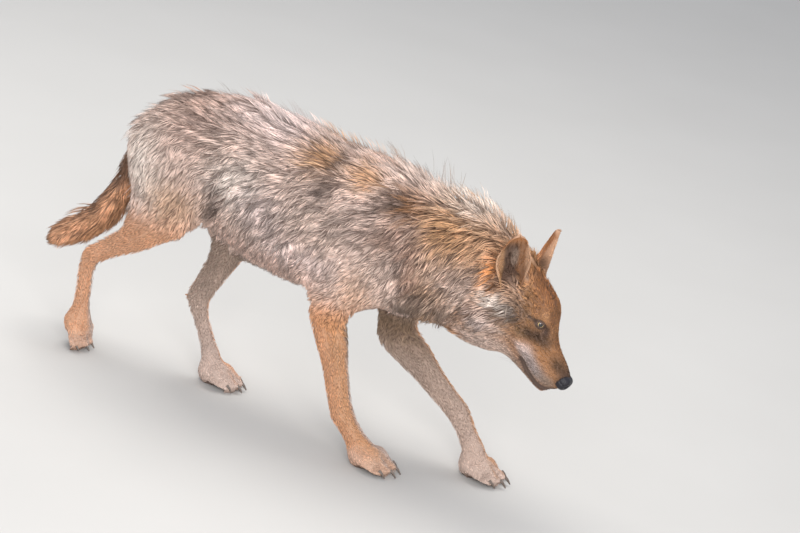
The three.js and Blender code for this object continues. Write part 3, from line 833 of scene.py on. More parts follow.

# %% [markdown]
# ## The pelt's colours
#
# A grey wolf isn't grey all over: the back is cream with dark-tipped guard hairs and ochre
# patches over the shoulders, the legs are orange outside and duller inside, the throat is pale,
# and the face has a dark bridge and pale lips. Some patches are painted shade, wholly or in part:
# high on the inner sides of the legs, the fold between thigh and flank, the furrow of the
# forehead, below the eye line, under the cheek ruff, the lower jaw and the deep parts of the ears.
# The rims of the ears carry a painted highlight over their pale hair. Each marking is a soft patch
# with a place, three radii, a colour and an amount, and later patches are painted over earlier
# ones. "dark" says how far black tips cover the hair there. A lock takes the colour of the place
# where it is seen, not of its root.

# %% The palette
CREAM = (0.90, 0.70, 0.61)
ROSE = (0.87, 0.63, 0.54)
LILAC = (0.93, 0.77, 0.73)
WHITE = (0.97, 0.87, 0.79)
BUFF = (0.74, 0.58, 0.50)
SAND = (0.80, 0.50, 0.32)
TAN = (0.70, 0.40, 0.20)
ORANGE = (0.90, 0.46, 0.24)
FOX = (0.80, 0.40, 0.20)
AMBER = (0.85, 0.33, 0.08)
CHESTNUT = (0.30, 0.14, 0.06)
MAHOGANY = (0.13, 0.07, 0.035)
ASH = (0.56, 0.48, 0.46)
OCHRE = (0.46, 0.22, 0.09)
RUST = (0.38, 0.15, 0.05)
UMBER = (0.46, 0.27, 0.19)
GREY = (0.36, 0.27, 0.21)
BISTRE = (0.22, 0.135, 0.07)
SOOT = (0.10, 0.06, 0.045)
CHARCOAL = (0.03, 0.022, 0.02)
SEPIA = (0.05, 0.025, 0.01)
print("palest and darkest:", WHITE, CHARCOAL)

# %% Markings of the body
# place and radii in mm, both sides alike: (x, |y|, z), (radii), (colour, amount, dark)
BODY_MARKS = [
    # back, croup and rump
    ((-281, 26, 590), (130, 120, 60), (UMBER, 0.55, 0.8)),
    ((-344, 86, 505), (55, 70, 60), (BUFF, 0.5, 0.3)),
    ((-368, 80, 435), (45, 60, 70), (WHITE, 0.85, 0.05)),
    ((-265, 79, 529), (50, 50, 40), (ROSE, 0.7, 0.55)),
    ((-88, 27, 590), (130, 80, 50), (LILAC, 0.95, 0.1)),
    ((0, 27, 584), (60, 40, 30), (CREAM, 0.7, 0.8)),
    # flank and ribs
    ((-200, 92, 500), (50, 60, 36), (BUFF, 0.6, 0.5)),
    ((-150, 96, 456), (60, 60, 50), (WHITE, 0.85, 0.1)),
    ((-80, 103, 425), (70, 60, 45), (LILAC, 0.85, 0.2)),
    ((-10, 107, 444), (55, 50, 46), (BUFF, 0.7, 0.4)),
    ((0, 80, 356), (90, 60, 34), (LILAC, 0.85, 0.2)),
    ((50, 108, 436), (50, 50, 60), (BUFF, 0.8, 0.4)),
    # thigh
    ((-332, 79, 382), (60, 50, 60), (WHITE, 0.6, 0.05)),
    ((-272, 75, 360), (60, 50, 56), (TAN, 0.6, 0.2)),
    # painted shadow in the fold between the thigh and the flank
    ((-186, 84, 392), (20, 45, 50), (SOOT, 0.8, 0.5)),
    # first saddle patch, with the dark line in front of it
    ((0, 60, 552), (52, 50, 30), (TAN, 0.95, 0.9)),
    ((94, 62, 545), (40, 45, 26), (TAN, 0.85, 0.7)),
    ((42, 44, 562), (17, 40, 22), (SOOT, 0.7, 1.0)),
    ((33, 68, 540), (16, 30, 24), (SOOT, 0.75, 1.0)),
    ((27, 93, 508), (17, 40, 30), (SOOT, 0.75, 1.0)),
    ((80, 93, 504), (25, 40, 35), (CREAM, 0.7, 0.3)),
    # withers and second saddle patch
    ((176, 0, 578), (45, 50, 26), (WHITE, 0.8, 0.5)),
    ((198, 66, 520), (42, 44, 36), (OCHRE, 0.97, 0.9)),
    ((242, 62, 526), (28, 40, 28), (TAN, 0.7, 0.7)),
    ((186, 49, 549), (18, 30, 16), (SOOT, 0.6, 1.0)),
    ((160, 74, 528), (17, 30, 22), (SOOT, 0.7, 1.0)),
    ((141, 93, 504), (20, 30, 20), (SOOT, 0.6, 1.0)),
    # neck: pale crest, golden side, cooler below
    ((320, 10, 560), (100, 50, 48), (WHITE, 0.9, 0.6)),
    ((292, 76, 498), (60, 50, 42), (TAN, 0.85, 0.6)),
    ((358, 74, 488), (48, 50, 44), (SAND, 0.85, 0.4)),
    ((292, 90, 420), (60, 50, 45), (CREAM, 0.6, 0.5)),
    ((345, 98, 406), (58, 60, 46), (CREAM, 0.9, 0.7)),
    ((340, 60, 340), (70, 90, 40), (BUFF, 0.8, 0.4)),
    ((405, 40, 312), (75, 90, 30), (BUFF, 0.9, 0.5)),
    ((392, 78, 452), (20, 30, 30), (AMBER, 1.0, 0.0)),
    # shoulder and the fold behind the neck
    ((185, 111, 452), (45, 50, 40), (UMBER, 0.75, 0.6)),
    ((187, 113, 403), (50, 50, 40), (BUFF, 0.7, 0.4)),
    ((229, 111, 440), (15, 50, 60), (UMBER, 0.7, 0.7)),
    ((237, 93, 374), (24, 60, 44), (UMBER, 0.75, 0.6)),
    ((262, 76, 345), (50, 70, 30), (BUFF, 0.6, 0.4)),
    ((230, 40, 330), (50, 40, 30), (GREY, 0.8, 0.3)),
    ((80, 95, 305), (44, 60, 40), (CREAM, 0.85, 0.1)),
    ((140, 108, 325), (40, 60, 50), (SAND, 0.6, 0.2)),
    ((112, 98, 258), (60, 60, 30), (ORANGE, 0.85, 0.1)),
    # belly and groin
    ((-47, 55, 322), (130, 80, 30), (ROSE, 0.8, 0.15)),
    ((-155, 45, 332), (60, 60, 32), (ROSE, 0.7, 0.0)),
]
print("patches on the body:", len(BODY_MARKS))

# %% Paint the body
def paint(colour, dark, layers):
    """Blends markings into the colour and the darkness, each by its own weight per point."""
    for weight, (tint, amount, tips) in layers:
        share = (weight * amount)[:, None]
        colour = colour * (1 - share) + np.array(tint) * share
        dark = dark + (tips - dark) * weight * amount
    return colour, dark


def patch(places, centre, radii):
    away = (places - np.array(centre)) / np.array(radii)
    return np.exp(-((away**2).sum(1) ** 1.3))


def patches_of(marks, places, weight=1.0):
    return [(patch(places, centre, radii) * weight, mark) for centre, radii, mark in marks]


def body_colours(points, normals):
    n = len(points)
    mirrored = folded(points) / MM
    x, z = points[:, 0], points[:, 2]
    legs, tail = on(region, "foreleg", "hindleg"), on(region, "tail") * 1.0
    outside = ramp(normals[:, 1] * np.sign(points[:, 1]), -0.35, 0.35)
    fore = x > -0.1
    down = np.where(fore, ramp(z, 0.33, 0.24), ramp(z, 0.36, 0.28)) * legs
    front = ramp(normals[:, 0], -0.3, 0.6) * ramp(z, 0.30, 0.24)
    # painted shade on the inner sides of the legs, growing towards the body and deepest in the
    # armpits
    shaded = down * (1 - outside) * ramp(z, 0.04, 0.26)
    armpit_shade = down * (1 - outside) * ramp(z, 0.17, 0.25) * (x > 0)
    toes = on(region, *PAWS) * ramp(z, 0.05, 0.02)
    below = tail * ramp(normals[:, 0], -0.2, 0.5)
    above = tail * ramp(normals[:, 0], -0.2, -0.75)
    layers = [(ramp(x, 0.21, 0.27), (TAN, 0.85, 0.5))]
    layers += patches_of(BODY_MARKS, mirrored)
    layers += [
        (down * outside * fore, (FOX, 0.9, 0.1)),
        (down * outside * ~fore, (ORANGE, 0.85, 0.1)),
        (down * outside * front * fore, (TAN, 0.4, 0.12)),
        (down * (1 - outside), (BUFF, 0.9, 0.1)),
        (shaded, (GREY, 0.8, 0.1)),
        (armpit_shade, (BISTRE, 0.75, 0.1)),
        (toes, (BUFF, 0.5, 0.1)),
        (toes * ramp(-normals[:, 2], 0.3, 0.8), (SOOT, 0.95, 0.5)),
        (tail, (ORANGE, 0.85, 0.3)),
        (below, (OCHRE, 0.5, 0.5)),
        (above * ramp(z, 0.16, 0.30), (SOOT, 0.7, 0.95)),
        (tail * ramp(x, -0.545, -0.57), (SOOT, 0.6, 0.95)),
    ]
    return paint(np.tile(CREAM, (n, 1)), np.full(n, 0.4), layers)


# a lock is seen half its length behind its root
seen = p + flow * length[:, None] * 0.5
colour, dark = body_colours(seen, normals)
print("mean colour of the body:", colour.mean(0).round(2))

# %% Markings of the head
# head frame, mm: (x, |y|, z), (radii), (colour, amount, dark)
HEAD_MARKS = [
    # crown, forehead and bridge of the muzzle
    ((-235, 20, 70), (50, 60, 40), (TAN, 0.8, 0.8)),
    ((-180, 0, 78), (60, 48, 44), (RUST, 0.9, 0.7)),
    ((-207, 39, 74), (18, 16, 18), (ORANGE, 0.4, 0.3)),
    ((-182, 46, 56), (26, 16, 22), (TAN, 0.6, 0.7)),
    ((-158, 37, 58), (24, 20, 20), (CHESTNUT, 0.85, 0.4)),
    ((-118, 14, 55), (20, 14, 16), (CHESTNUT, 0.95, 0.4)),
    ((-125, 38, 57), (13, 11, 7), (TAN, 0.5, 0.4)),
    ((-75, 0, 30), (50, 16, 24), (CHESTNUT, 0.8, 0.4)),
    # painted shadow in the furrow up the middle of the forehead
    ((-158, 0, 80), (50, 8, 30), (SOOT, 0.65, 0.9)),
    # side of the muzzle, round the eye, temple
    ((-72, 28, 2), (40, 20, 20), (OCHRE, 0.85, 0.5)),
    ((-93, 28, 20), (17, 16, 13), (MAHOGANY, 1.0, 0.9)),
    ((-108, 37, 18), (18, 16, 13), (SEPIA, 1.0, 0.6)),
    ((-106, 30, 34), (12, 10, 11), (SOOT, 1.0, 0.9)),
    ((-130, 41, 34), (10, 9, 6), (BISTRE, 0.85, 0.5)),
    # below the eye line and on the temple: the face's own darker hair, deepened as painted shade
    # under the brow and the cheek ruff
    ((-124, 49, 12), (20, 17, 11), (SEPIA, 1.0, 0.6)),
    ((-137, 58, 1), (18, 16, 11), (BISTRE, 0.75, 0.6)),
    ((-151, 52, 30), (17, 16, 10), (BISTRE, 0.6, 0.7)),
    ((-169, 66, 9), (24, 24, 13), (SEPIA, 1.0, 0.9)),
    ((-178, 62, 27), (22, 18, 10), (GREY, 0.6, 0.7)),
    # cheek, ruff and throat
    ((-214, 54, 34), (24, 22, 16), (CREAM, 0.9, 0.4)),
    ((-208, 82, 0), (38, 36, 23), (WHITE, 0.95, 0.1)),
    # painted shade under the upper edge of the cheek ruff
    ((-184, 76, -11), (20, 22, 10), (MAHOGANY, 1.0, 0.8)),
    ((-168, 62, -30), (34, 30, 14), (BUFF, 0.85, 0.5)),
    ((-200, 74, -48), (36, 50, 24), (ASH, 0.85, 0.6)),
    ((-165, 34, -80), (40, 50, 40), (BUFF, 0.85, 0.5)),
    ((-185, 20, -100), (60, 70, 32), (BUFF, 0.9, 0.5)),
    ((-125, 0, -68), (55, 50, 22), (BUFF, 0.9, 0.4)),
    # lips and chin, nose bridge
    ((-106, 41, -20), (24, 20, 15), (LILAC, 0.75, 0.0)),
    ((-86, 33, -25), (22, 20, 12), (ASH, 0.8, 0.2)),
    ((-62, 26, -32), (36, 24, 15), (ASH, 0.95, 0.3)),
    ((-30, 18, -29), (22, 20, 13), (GREY, 0.9, 0.3)),
    # the lower jaw: its own grey, painted darker as the shade under the head
    ((-60, 10, -65), (60, 34, 13), (GREY, 0.9, 0.3)),
    ((-25, 6, -54), (24, 22, 14), (UMBER, 0.9, 0.2)),
    ((-38, 17, 8), (22, 20, 12), (MAHOGANY, 0.95, 0.9)),
    ((-14, 0, 6), (20, 24, 16), (SOOT, 0.85, 0.8)),
    ((-6, 10, -2), (16, 18, 18), (CHARCOAL, 0.9, 0.5)),
    # behind the root of the ear, and the back of its root
    ((-240, 60, 24), (20, 22, 26), (AMBER, 0.95, 0.1)),
]
# painted last, over the ears' own colours: the pale patch below the ear and its dark front root
EAR_MARKS = [
    ((-208, 51, 30), (20, 22, 12), (SAND, 0.9, 0.0)),
    ((-217, 30, 87), (15, 17, 20), (SEPIA, 0.85, 0.5)),
]
print("patches on the head:", len(HEAD_MARKS) + len(EAR_MARKS))

# %% Paint the head
def ear_layers(side, index):
    ear = (region == index) * 1.0
    inner, across, up_ear = ear_places(side, index)
    outer = ear * (1 - inner)
    lobe = inner * ramp(across, -6, -16) * ramp(up_ear, 66, 40)
    # painted shade deep in the cup of the ear
    cup_shade = inner * ramp(np.abs(across + 3), 17, 9) * ramp(up_ear, 74, 50)
    hair = inner * ramp(np.abs(across - 5), 9, 4) * ramp(np.abs(up_ear - 26), 26, 14)
    # pale hair on the edges and tip of the ear, brightened as a painted highlight along the rim
    rim = ear * np.maximum(ramp(up_ear, 80, 88), ramp(np.abs(across), 22, 27))
    return [
        (outer, (RUST, 0.9, 0.3)),
        (outer * ramp(up_ear, 50, 10), (ORANGE, 0.8, 0.1)),
        (inner, (CHESTNUT, 1.0, 0.3)),
        (inner * ramp(up_ear, 60, 84), (AMBER, 0.4, 0.1)),
        (lobe, (TAN, 0.8, 0.2)),
        (cup_shade, (CHARCOAL, 0.85, 0.3)),
        (hair, (GREY, 0.8, 0.3)),
        (rim, (SAND, 0.7, 0.1)),
    ]


def head_layers(head):
    mirrored = folded(head)
    of_head = (on(region, "head", "ear") | in_head(head, -230)) * 1.0
    face = ramp(web.smooth(of_head, 8), 0.1, 0.9)
    layers = [(face, (OCHRE, 0.85, 0.4))] + patches_of(HEAD_MARKS, mirrored, face)
    for side, index in EARS.items():
        layers += ear_layers(side, index)
    # painted shade at the bottom of each ear's cup, then the patches below and in front of the ears
    layers += [(ear_floor_shade, (SOOT, 0.95, 0.3))] + patches_of(EAR_MARKS, mirrored)
    layers += [
        (ramp(rim_distance, 6.2, 3.6), (CHARCOAL, 0.97, 0.5)),
        (ramp(mouth_away, 9.0, 6.4), (CHARCOAL, 0.97, 0.5)),
    ]
    return layers


colour, dark = paint(colour, dark, head_layers(to_head(seen)))
print("mean coat colour:", colour.mean(0).round(2), "mean dark tips:", dark.mean().round(2))

# %% [markdown]
# ## The lock: one small tapered solid
#
# A lock is a closed strip with a triangular section: left edge, ridge, right edge. It starts a
# little under the skin, follows the lie of the coat, and ends in a point. The function below
# makes thousands at once. Each middle and tip point is first laid on the nearest skin, then
# lifted, so that the locks hug the body, and neighbouring tips are drawn together into clumps.

# %% Drape and clump
tree = face_tree_of(p, body)


def drape(points, lift):
    """Moves points onto the skin and lifts them off it along its normal."""
    out = np.empty_like(points)
    for i, q in enumerate(points):
        place, normal, _, _ = tree.find_nearest(Vector(q))
        out[i] = place + normal * lift[i]
    return out


CLUMP = 18  # locks
CLUMP_REACH = 0.03
CLUMP_SLIM = 0.62  # share taken off distances along the lie


def clumps_of(root, lie, members):
    """For each root, the number of the root that leads its clump: clumps are long along the lie."""
    squeezed = root - CLUMP_SLIM * lie * (root * lie).sum(1)[:, None]
    leaders = rng.permutation(len(root))[: len(root) // members + 1]
    tree_of_leaders = KDTree(len(leaders))
    for i in leaders:
        tree_of_leaders.insert(Vector(squeezed[i]), int(i))
    tree_of_leaders.balance()
    return np.array([tree_of_leaders.find(Vector(q))[1] for q in squeezed])


def turned(lie, normal, angle):
    """The lie turned about the skin's normal."""
    return lie * np.cos(angle)[:, None] + np.cross(normal, lie) * np.sin(angle)[:, None]


print("locks in a clump:", CLUMP)

# %% Build locks from roots
def lock_points(root, normal, flow, length, width, height, rings, pull, clump):
    """Points (locks, 3 * rings + 1, 3) and the share of the way to the tip for each of them."""
    middle = drape(root + flow * (length * 0.5)[:, None], height * 0.7)
    tip = drape(root + flow * length[:, None], height)
    apart = tip[clump] - tip
    near = np.linalg.norm(apart, axis=1) < CLUMP_REACH
    sideways = apart - flow * (apart * flow).sum(1)[:, None]
    tip = tip + sideways * (pull * near)[:, None]
    base = root - normal * (0.0006 + 0.1 * height)[:, None]
    shares = np.linspace(0, 1, rings + 1)[:-1] * 0.96
    shape = np.interp(shares, [0, 0.35, 1], [0.75, 1, 0.3])
    roll = rng.normal(0, 0.45, len(root))
    side = unit(np.cross(flow, normal))
    side = unit(side * np.cos(roll)[:, None] + normal * np.sin(roll)[:, None])
    points = []
    for share, wide in zip(shares, shape):
        centre = base * (1 - share) ** 2 + 2 * middle * share * (1 - share) + tip * share**2
        half = (width * wide / 2)[:, None]
        points += [centre - side * half, centre + normal * half * 0.6, centre + side * half]
    points.append(tip)
    along = np.append(np.repeat(shares, 3), 1.0)
    return np.stack(points, 1), along


def lock_faces(rings):
    """Faces of one closed lock, all facing out."""
    faces = [(2, 1, 0)]
    for a in range(rings):
        for i, j in ((0, 1), (1, 2), (2, 0)):
            if a < rings - 1:
                faces.append((3 * a + i, 3 * a + j, 3 * a + 3 + j, 3 * a + 3 + i))
            else:
                faces.append((3 * a + i, 3 * a + j, 3 * rings))
    return faces


print("triangles in a long lock:", sum(len(f) - 2 for f in lock_faces(3)))

# %% [markdown]
# ## Scattering the roots
#
# The number of locks follows from their size: every bit of skin is to be covered a given number
# of times, whatever the length. Faces of the skin are drawn by area and by that density. Each
# piece also gets a UV map that lays its locks out as small patches around the unrolled body part.
#
# Trunk and neck are grown twice. The first layer is the soft coat, in clumps whose tips meet. The
# second is a sparse layer of guard hairs, thinner, darker and a little more upright, as on the
# real animal. Hair at the widest part of the body is eased inwards, so the coat keeps to the
# solid's width.

# %% Skin faces and their places in the UV map
fans = [tuple(f.vertices) for f in body.polygons]
triangles = np.array([(f[0], f[k], f[k + 1]) for f in fans for k in range(1, len(f) - 1)])
corners = p[triangles]
sides = corners[:, 1] - corners[:, 0], corners[:, 2] - corners[:, 0]
area = np.linalg.norm(np.cross(*sides), axis=1) / 2
PATCH = 0.003  # side of one lock's patch in the UV map, whose whole side is 1


def unroll(points, group_points):
    """A place in the unit square for each point: around and along the body part's own axis."""
    middle = group_points.mean(0)
    axes = np.linalg.svd((group_points - middle)[::7], full_matrices=False)[2]
    local = (points - middle) @ axes.T
    reach = ((group_points - middle) @ axes.T)[:, 0]
    around = np.arctan2(local[:, 2], local[:, 1]) / (2 * math.pi) + 0.5
    along = (local[:, 0] - reach.min()) / (reach.max() - reach.min())
    return 0.01 + 0.98 * np.stack([around, along.clip(0, 1)], 1)


print("skin area, square metres:", area.sum().round(3))

# %% Locks as one object
def smooth_shaded(mesh):
    mesh.polygons.foreach_set("use_smooth", np.ones(len(mesh.polygons), bool))


def lock_object(name, points, along, rings, place, values):
    """One object out of many locks, with values per point and a small UV patch for each lock."""
    count, size = points.shape[:2]
    pattern = np.array([len(f) for f in lock_faces(rings)])
    loops = np.concatenate([np.array(f) for f in lock_faces(rings)])
    index = (loops[None] + (np.arange(count) * size)[:, None]).ravel()
    sizes = np.tile(pattern, count)
    mesh = bpy.data.meshes.new(name)
    mesh.vertices.add(count * size)
    mesh.vertices.foreach_set("co", points.ravel())
    mesh.loops.add(len(index))
    mesh.loops.foreach_set("vertex_index", index)
    mesh.polygons.add(len(sizes))
    mesh.polygons.foreach_set("loop_start", np.append(0, np.cumsum(sizes)[:-1]))
    mesh.update(calc_edges=True)
    smooth_shaded(mesh)
    spot = np.append(np.tile([0.0, 0.5, 1.0], rings), 0.5) - 0.5
    patch_points = place[:, None] + PATCH * np.stack([spot, along - 0.5], 1)[None]
    uv = mesh.uv_layers.new(name="OFBake")
    uv.data.foreach_set("uv", patch_points.reshape(-1, 2)[index].ravel())
    store(mesh, "along", np.tile(along, count))
    for label, value in values.items():
        store(mesh, label, np.repeat(value, size, 0))
    return placed(name, mesh)


def store(mesh, name, value):
    """Keeps a value per point on the mesh, where a material can read it."""
    value = np.asarray(value, float)
    if value.ndim == 1:
        layer = mesh.attributes.new(name, "FLOAT", "POINT")
        layer.data.foreach_set("value", value)
    else:
        layer = mesh.attributes.new(name, "FLOAT_COLOR", "POINT")
        layer.data.foreach_set("color", np.column_stack([value, np.ones(len(value))]).ravel())

# %% Grow one piece of the coat
MOST_PER_PIECE = 190_000  # triangles
# metres: hair further out than the flank is eased inwards, and none stands above or below these
FLANK, FLANK_EASE, HIGHEST, LOWEST = 0.122, 0.013, 0.636, 0.0004
# guard hairs: darker fleece, more dark tip
GUARD_TINT, GUARD_TIPS = 0.42, 1.3


def grow(name, mask, cover, rings, pull=0.65, wild=0.08, swirl=0.2, lift=0.45, slim=1.0, stand=1.0,
         contrast=1.5, members=CLUMP, shared=0.65):
    """Grows locks on the skin points of a mask and returns the new pieces."""
    inside = mask[triangles].all(1) & ~bare[triangles].any(1)
    picked = np.flatnonzero(inside)
    dense = cover / (length * width)[triangles[picked]].mean(1) / slim
    expected = area[picked] * dense
    count = rng.poisson(expected)
    face = np.repeat(picked, count)
    mix = rng.dirichlet((1, 1, 1), len(face))[..., None]
    at = triangles[face]

    def blend(value):
        value = value.reshape(len(p), -1)
        return (value[at] * mix).sum(1)

    root = blend(p)
    order = np.argsort(root @ np.linalg.svd(root[::11] - root.mean(0), full_matrices=False)[2][0])
    root, at, mix = root[order], at[order], mix[order]
    n = len(root)
    normal, lie = unit(blend(normals)), blend(flow)
    clump = clumps_of(root, lie, members)
    waves = np.array([noise.noise(Vector(q) * 28) for q in root])
    angle = swirl * (0.9 * rng.normal(0, 1, n)[clump] + 0.4 * rng.normal(0, 1, n) + 2.2 * waves)
    lie = unit(turned(lie, normal, angle))
    lengths = blend(length)[:, 0] * rng.uniform(0.7, 1.15, n)
    widths = blend(width)[:, 0] * rng.uniform(0.7, 1.25, n) * slim
    share = 0.6 * rng.random(n)[clump] + 0.4 * rng.random(n)
    height = blend(depth)[:, 0] * (lift + (1 - lift) * share) * stand * blend(erect)[:, 0]
    upward = ramp(normal[:, 2], -0.1, 0.6)
    height = np.where(rng.random(n)[clump] < wild, height * (1 + 0.9 * upward), height)
    points, along = lock_points(root, normal, lie, lengths, widths, height, rings, pull, clump)
    beyond = np.maximum(np.abs(points[..., 1]) - FLANK, 0)
    points[..., 1] -= np.sign(points[..., 1]) * (beyond - FLANK_EASE * np.tanh(beyond / FLANK_EASE))
    points[..., 2] = points[..., 2].clip(LOWEST, HIGHEST)
    place = unroll(root, p[mask])
    shade = (1 - shared) * rng.random(n) + shared * rng.random(n)[clump]
    shade = 0.5 + (shade - 0.5) * contrast
    tint, tips = blend(colour), blend(dark)[:, 0]
    if slim < 1:  # guard hairs
        tint, tips, shade = tint * GUARD_TINT, tips * GUARD_TIPS, 0.6 + 0.4 * shade
    per_piece = MOST_PER_PIECE // sum(len(f) - 2 for f in lock_faces(rings))
    pieces = []
    for k, part in enumerate(np.array_split(np.arange(n), -(-n // per_piece))):
        values = {"fleece": tint[part], "shade": shade[part], "tips": tips[part]}
        piece = lock_object(f"{name}_{k + 1}", points[part], along, rings, place[part], values)
        pieces.append(piece)
    print(f"{name}: {n} locks in {len(pieces)} pieces")
    return pieces

# %% Grow the coat
is_trunk, is_neck, is_tail, is_head = (on(region, n) for n in ("trunk", "neck", "tail", "head"))
cheeks = is_head & (length > 0.017)
coat = []
coat += grow("coat_trunk", is_trunk, 5.6, 3, pull=0.85)
coat += grow("coat_neck", is_neck, 5.6, 3, pull=0.9, contrast=1.6, members=14)
coat += grow("coat_guard", is_trunk | is_neck, 1.0, 3, pull=0.3, swirl=0.3, slim=0.42, stand=1.25)
coat += grow("coat_tail", is_tail, 9.0, 3, lift=0.75)
coat += grow("coat_cheeks", cheeks, 6.0, 3, swirl=0.25, pull=0.9, members=14)
coat += grow("coat_face", is_head & ~cheeks, 2.7, 2, wild=0, swirl=0.3, contrast=2.0, members=6)
for side, index in zip(("left", "right"), EARS.values()):
    coat += grow(f"coat_ear_{side}", region == index, 2.0, 2, wild=0, swirl=0.15, contrast=1.0)
for leg in LEG_PATHS:
    coat += grow(f"coat_{leg}_upper", on(region, leg + "_upper"), 5.0, 3, swirl=0.12, contrast=0.6)
    lower = on(region, leg + "_lower", leg + "_paw")
    coat += grow(f"coat_{leg}_lower", lower, 2.0, 2, wild=0, swirl=0.1, contrast=0.4, members=6)
total = sum(sum(f.loop_total - 2 for f in o.data.polygons) for o in coat)
print("coat triangles:", total)

# %% [markdown]
# ## Eyes
#
# A wolf's eye is a ball with a slightly bulging front, an amber iris and a round pupil. It sits
# deep, turned outwards and a little forward. The ball is built along z and then turned to the
# line of sight. Each point keeps how far it lies along that line, and the material draws its
# rings from that value.

# %% Build the eyes
CORNEA = 0.9


def eye_ball(name, side):
    bm = bmesh.new()
    bmesh.ops.create_uvsphere(bm, u_segments=48, v_segments=32, radius=EYE_RADIUS * MM)
    for v in bm.verts:
        front = ramp(np.array(v.co.z / (EYE_RADIUS * MM)), 0.80, 0.97)
        v.co *= 1 + CORNEA / EYE_RADIUS * float(front)
    mesh = bpy.data.meshes.new(name)
    bm.to_mesh(mesh)
    bm.free()
    smooth_shaded(mesh)
    look = Vector(HEAD_AXES @ eye_axes(side)[0])
    turn = look.to_track_quat("Z", "Y").to_matrix().to_4x4()
    place = from_head(EYE_CENTRE * (1, side, 1))
    mesh.transform(turn)
    store(mesh, "sight", points_of(mesh) @ np.array(look) / (EYE_RADIUS * MM))
    mesh.transform(Matrix.Translation(Vector(place)))
    return placed(name, mesh)


eyes = {"eye_left": eye_ball("wolf_eye_left", 1), "eye_right": eye_ball("wolf_eye_right", -1)}
print("eye radius, mm:", EYE_RADIUS)

# %% [markdown]
# ## Nose pad
#
# The nose is a cushion of bare leather, a little wider than it is high. Two nostrils open at the
# front and run out into slits at the sides, and a groove comes down the middle to the upper lip.
# It starts as a ball, squared off a little, and each feature is pressed in by its own soft
# function.

# %% Build the nose pad
PAD_CENTRE = np.array([-12.0, 0.0, -7.5])
PAD_HALF = np.array([14.5, 17.5, 15.5])
PAD_SQUARE = 2.5


def nose_pad(name):
    bm = bmesh.new()
    bmesh.ops.create_uvsphere(bm, u_segments=112, v_segments=72, radius=1)
    mesh = bpy.data.meshes.new(name)
    bm.to_mesh(mesh)
    bm.free()
    ball = points_of(mesh)
    shape = ball * (np.abs(ball) ** PAD_SQUARE).sum(1)[:, None] ** (-1 / PAD_SQUARE)
    x, y, z = shape[:, 0], np.abs(shape[:, 1]), shape[:, 2]
    front = ramp(x, 0.1, 0.5)
    nostril = np.exp(-(((y - 0.46) / 0.19) ** 2) - ((z - 0.05) / 0.25) ** 2) * front
    slit = np.exp(-(((z + 0.08 - 0.3 * (y - 0.5)) / 0.11) ** 2))
    slit *= ramp(y, 0.45, 0.65) * ramp(x, -0.5, 0)
    groove = np.exp(-((y / 0.06) ** 2)) * ramp(z, 0.3, 0.05) * front
    saddle = np.exp(-((y / 0.3) ** 2)) * ramp(z, 0.3, 0.9)
    local = shape * PAD_HALF * (1 - 0.07 * slit - 0.05 * saddle)[:, None]
    local[:, 0] -= 8 * nostril + 1.2 * groove
    set_points(mesh, from_head(PAD_CENTRE + local))
    smooth_shaded(mesh)
    return placed(name, mesh)


nose = nose_pad("wolf_nose")
print("nose pad points:", len(nose.data.vertices))

# %% [markdown]
# ## Whiskers
#
# Stiff dark whiskers grow in three rows along each upper lip. Each one is a single long lock with
# many rings that leaves the lip outwards and bends back along the muzzle.

# %% Build the whiskers
WHISKER_RINGS, WHISKER_ROWS, WHISKERS_IN_ROW = 7, 3, 6


def whiskers(name):
    shares = np.linspace(0, 1, WHISKER_RINGS + 1)[:-1]
    made = []
    for side in (1, -1):
        for row in range(WHISKER_ROWS):
            for k in range(WHISKERS_IN_ROW):
                aim = np.array([-30 - 8.5 * k - 3 * row, side * 32, -14 - 7 * row])
                aim = aim + rng.normal(0, 1, 3)
                root, normal, _, _ = tree.find_nearest(Vector(from_head(aim)))
                root, normal = to_head(np.array(root)[None])[0], np.array(normal) @ HEAD_AXES
                long = 26 + 6 * k + rng.uniform(-3, 3)
                way = unit(normal * 0.5 + np.array([-0.75, 0, -0.35 - 0.1 * row]))
                bend = np.array([-0.45, -0.25 * side, -0.3])
                middle = root + (way * shares[:, None] + bend * shares[:, None] ** 2 * 0.5) * long
                tip = root + (way + bend * 0.5) * long
                across = unit(np.cross(way, [0, 0, 1.0]))
                half = 0.28 * (1 - 0.75 * shares)[:, None]
                ring = [middle - across * half, middle + normal * half, middle + across * half]
                points = np.concatenate([np.stack(ring, 1).reshape(-1, 3), tip[None]])
                made.append(from_head(points))
    along = np.append(np.repeat(shares, 3), 1.0)
    points = np.array(made)
    values = {
        "fleece": np.tile(SOOT, (len(points), 1)),
        "shade": rng.random(len(points)),
        "tips": np.zeros(len(points)),
    }
    return lock_object(name, points, along, WHISKER_RINGS, unroll(points[:, 0], p[is_head]), values)


coat.append(whiskers("coat_whiskers"))
print("whiskers:", 2 * WHISKER_ROWS * WHISKERS_IN_ROW)

# %% [markdown]
# ## Materials
#
# The skin and the locks share one node group, so the markings run through both. It reads the
# values stored on each point: the fleece colour, the way along the hair, a shade per lock and the
# amount of dark tip. Roots are duller and, by the Depth of shade, darkened further as painted shade
# deep in the coat; the middle band is the pale one, and guard hairs end dark.
#
# Nodes are made by a small class, so that a line of the script reads like a line of arithmetic.
# The group gives only colour and roughness. The Principled shader that uses them is in each
# material.

# %% Node helpers
def new_group(name, inputs, outputs):
    group = bpy.data.node_groups.new(name, "ShaderNodeTree")
    for label, kind, default in inputs:
        group.interface.new_socket(label, in_out="INPUT", socket_type=kind).default_value = default
    for label, kind in outputs:
        group.interface.new_socket(label, in_out="OUTPUT", socket_type=kind)
    return group


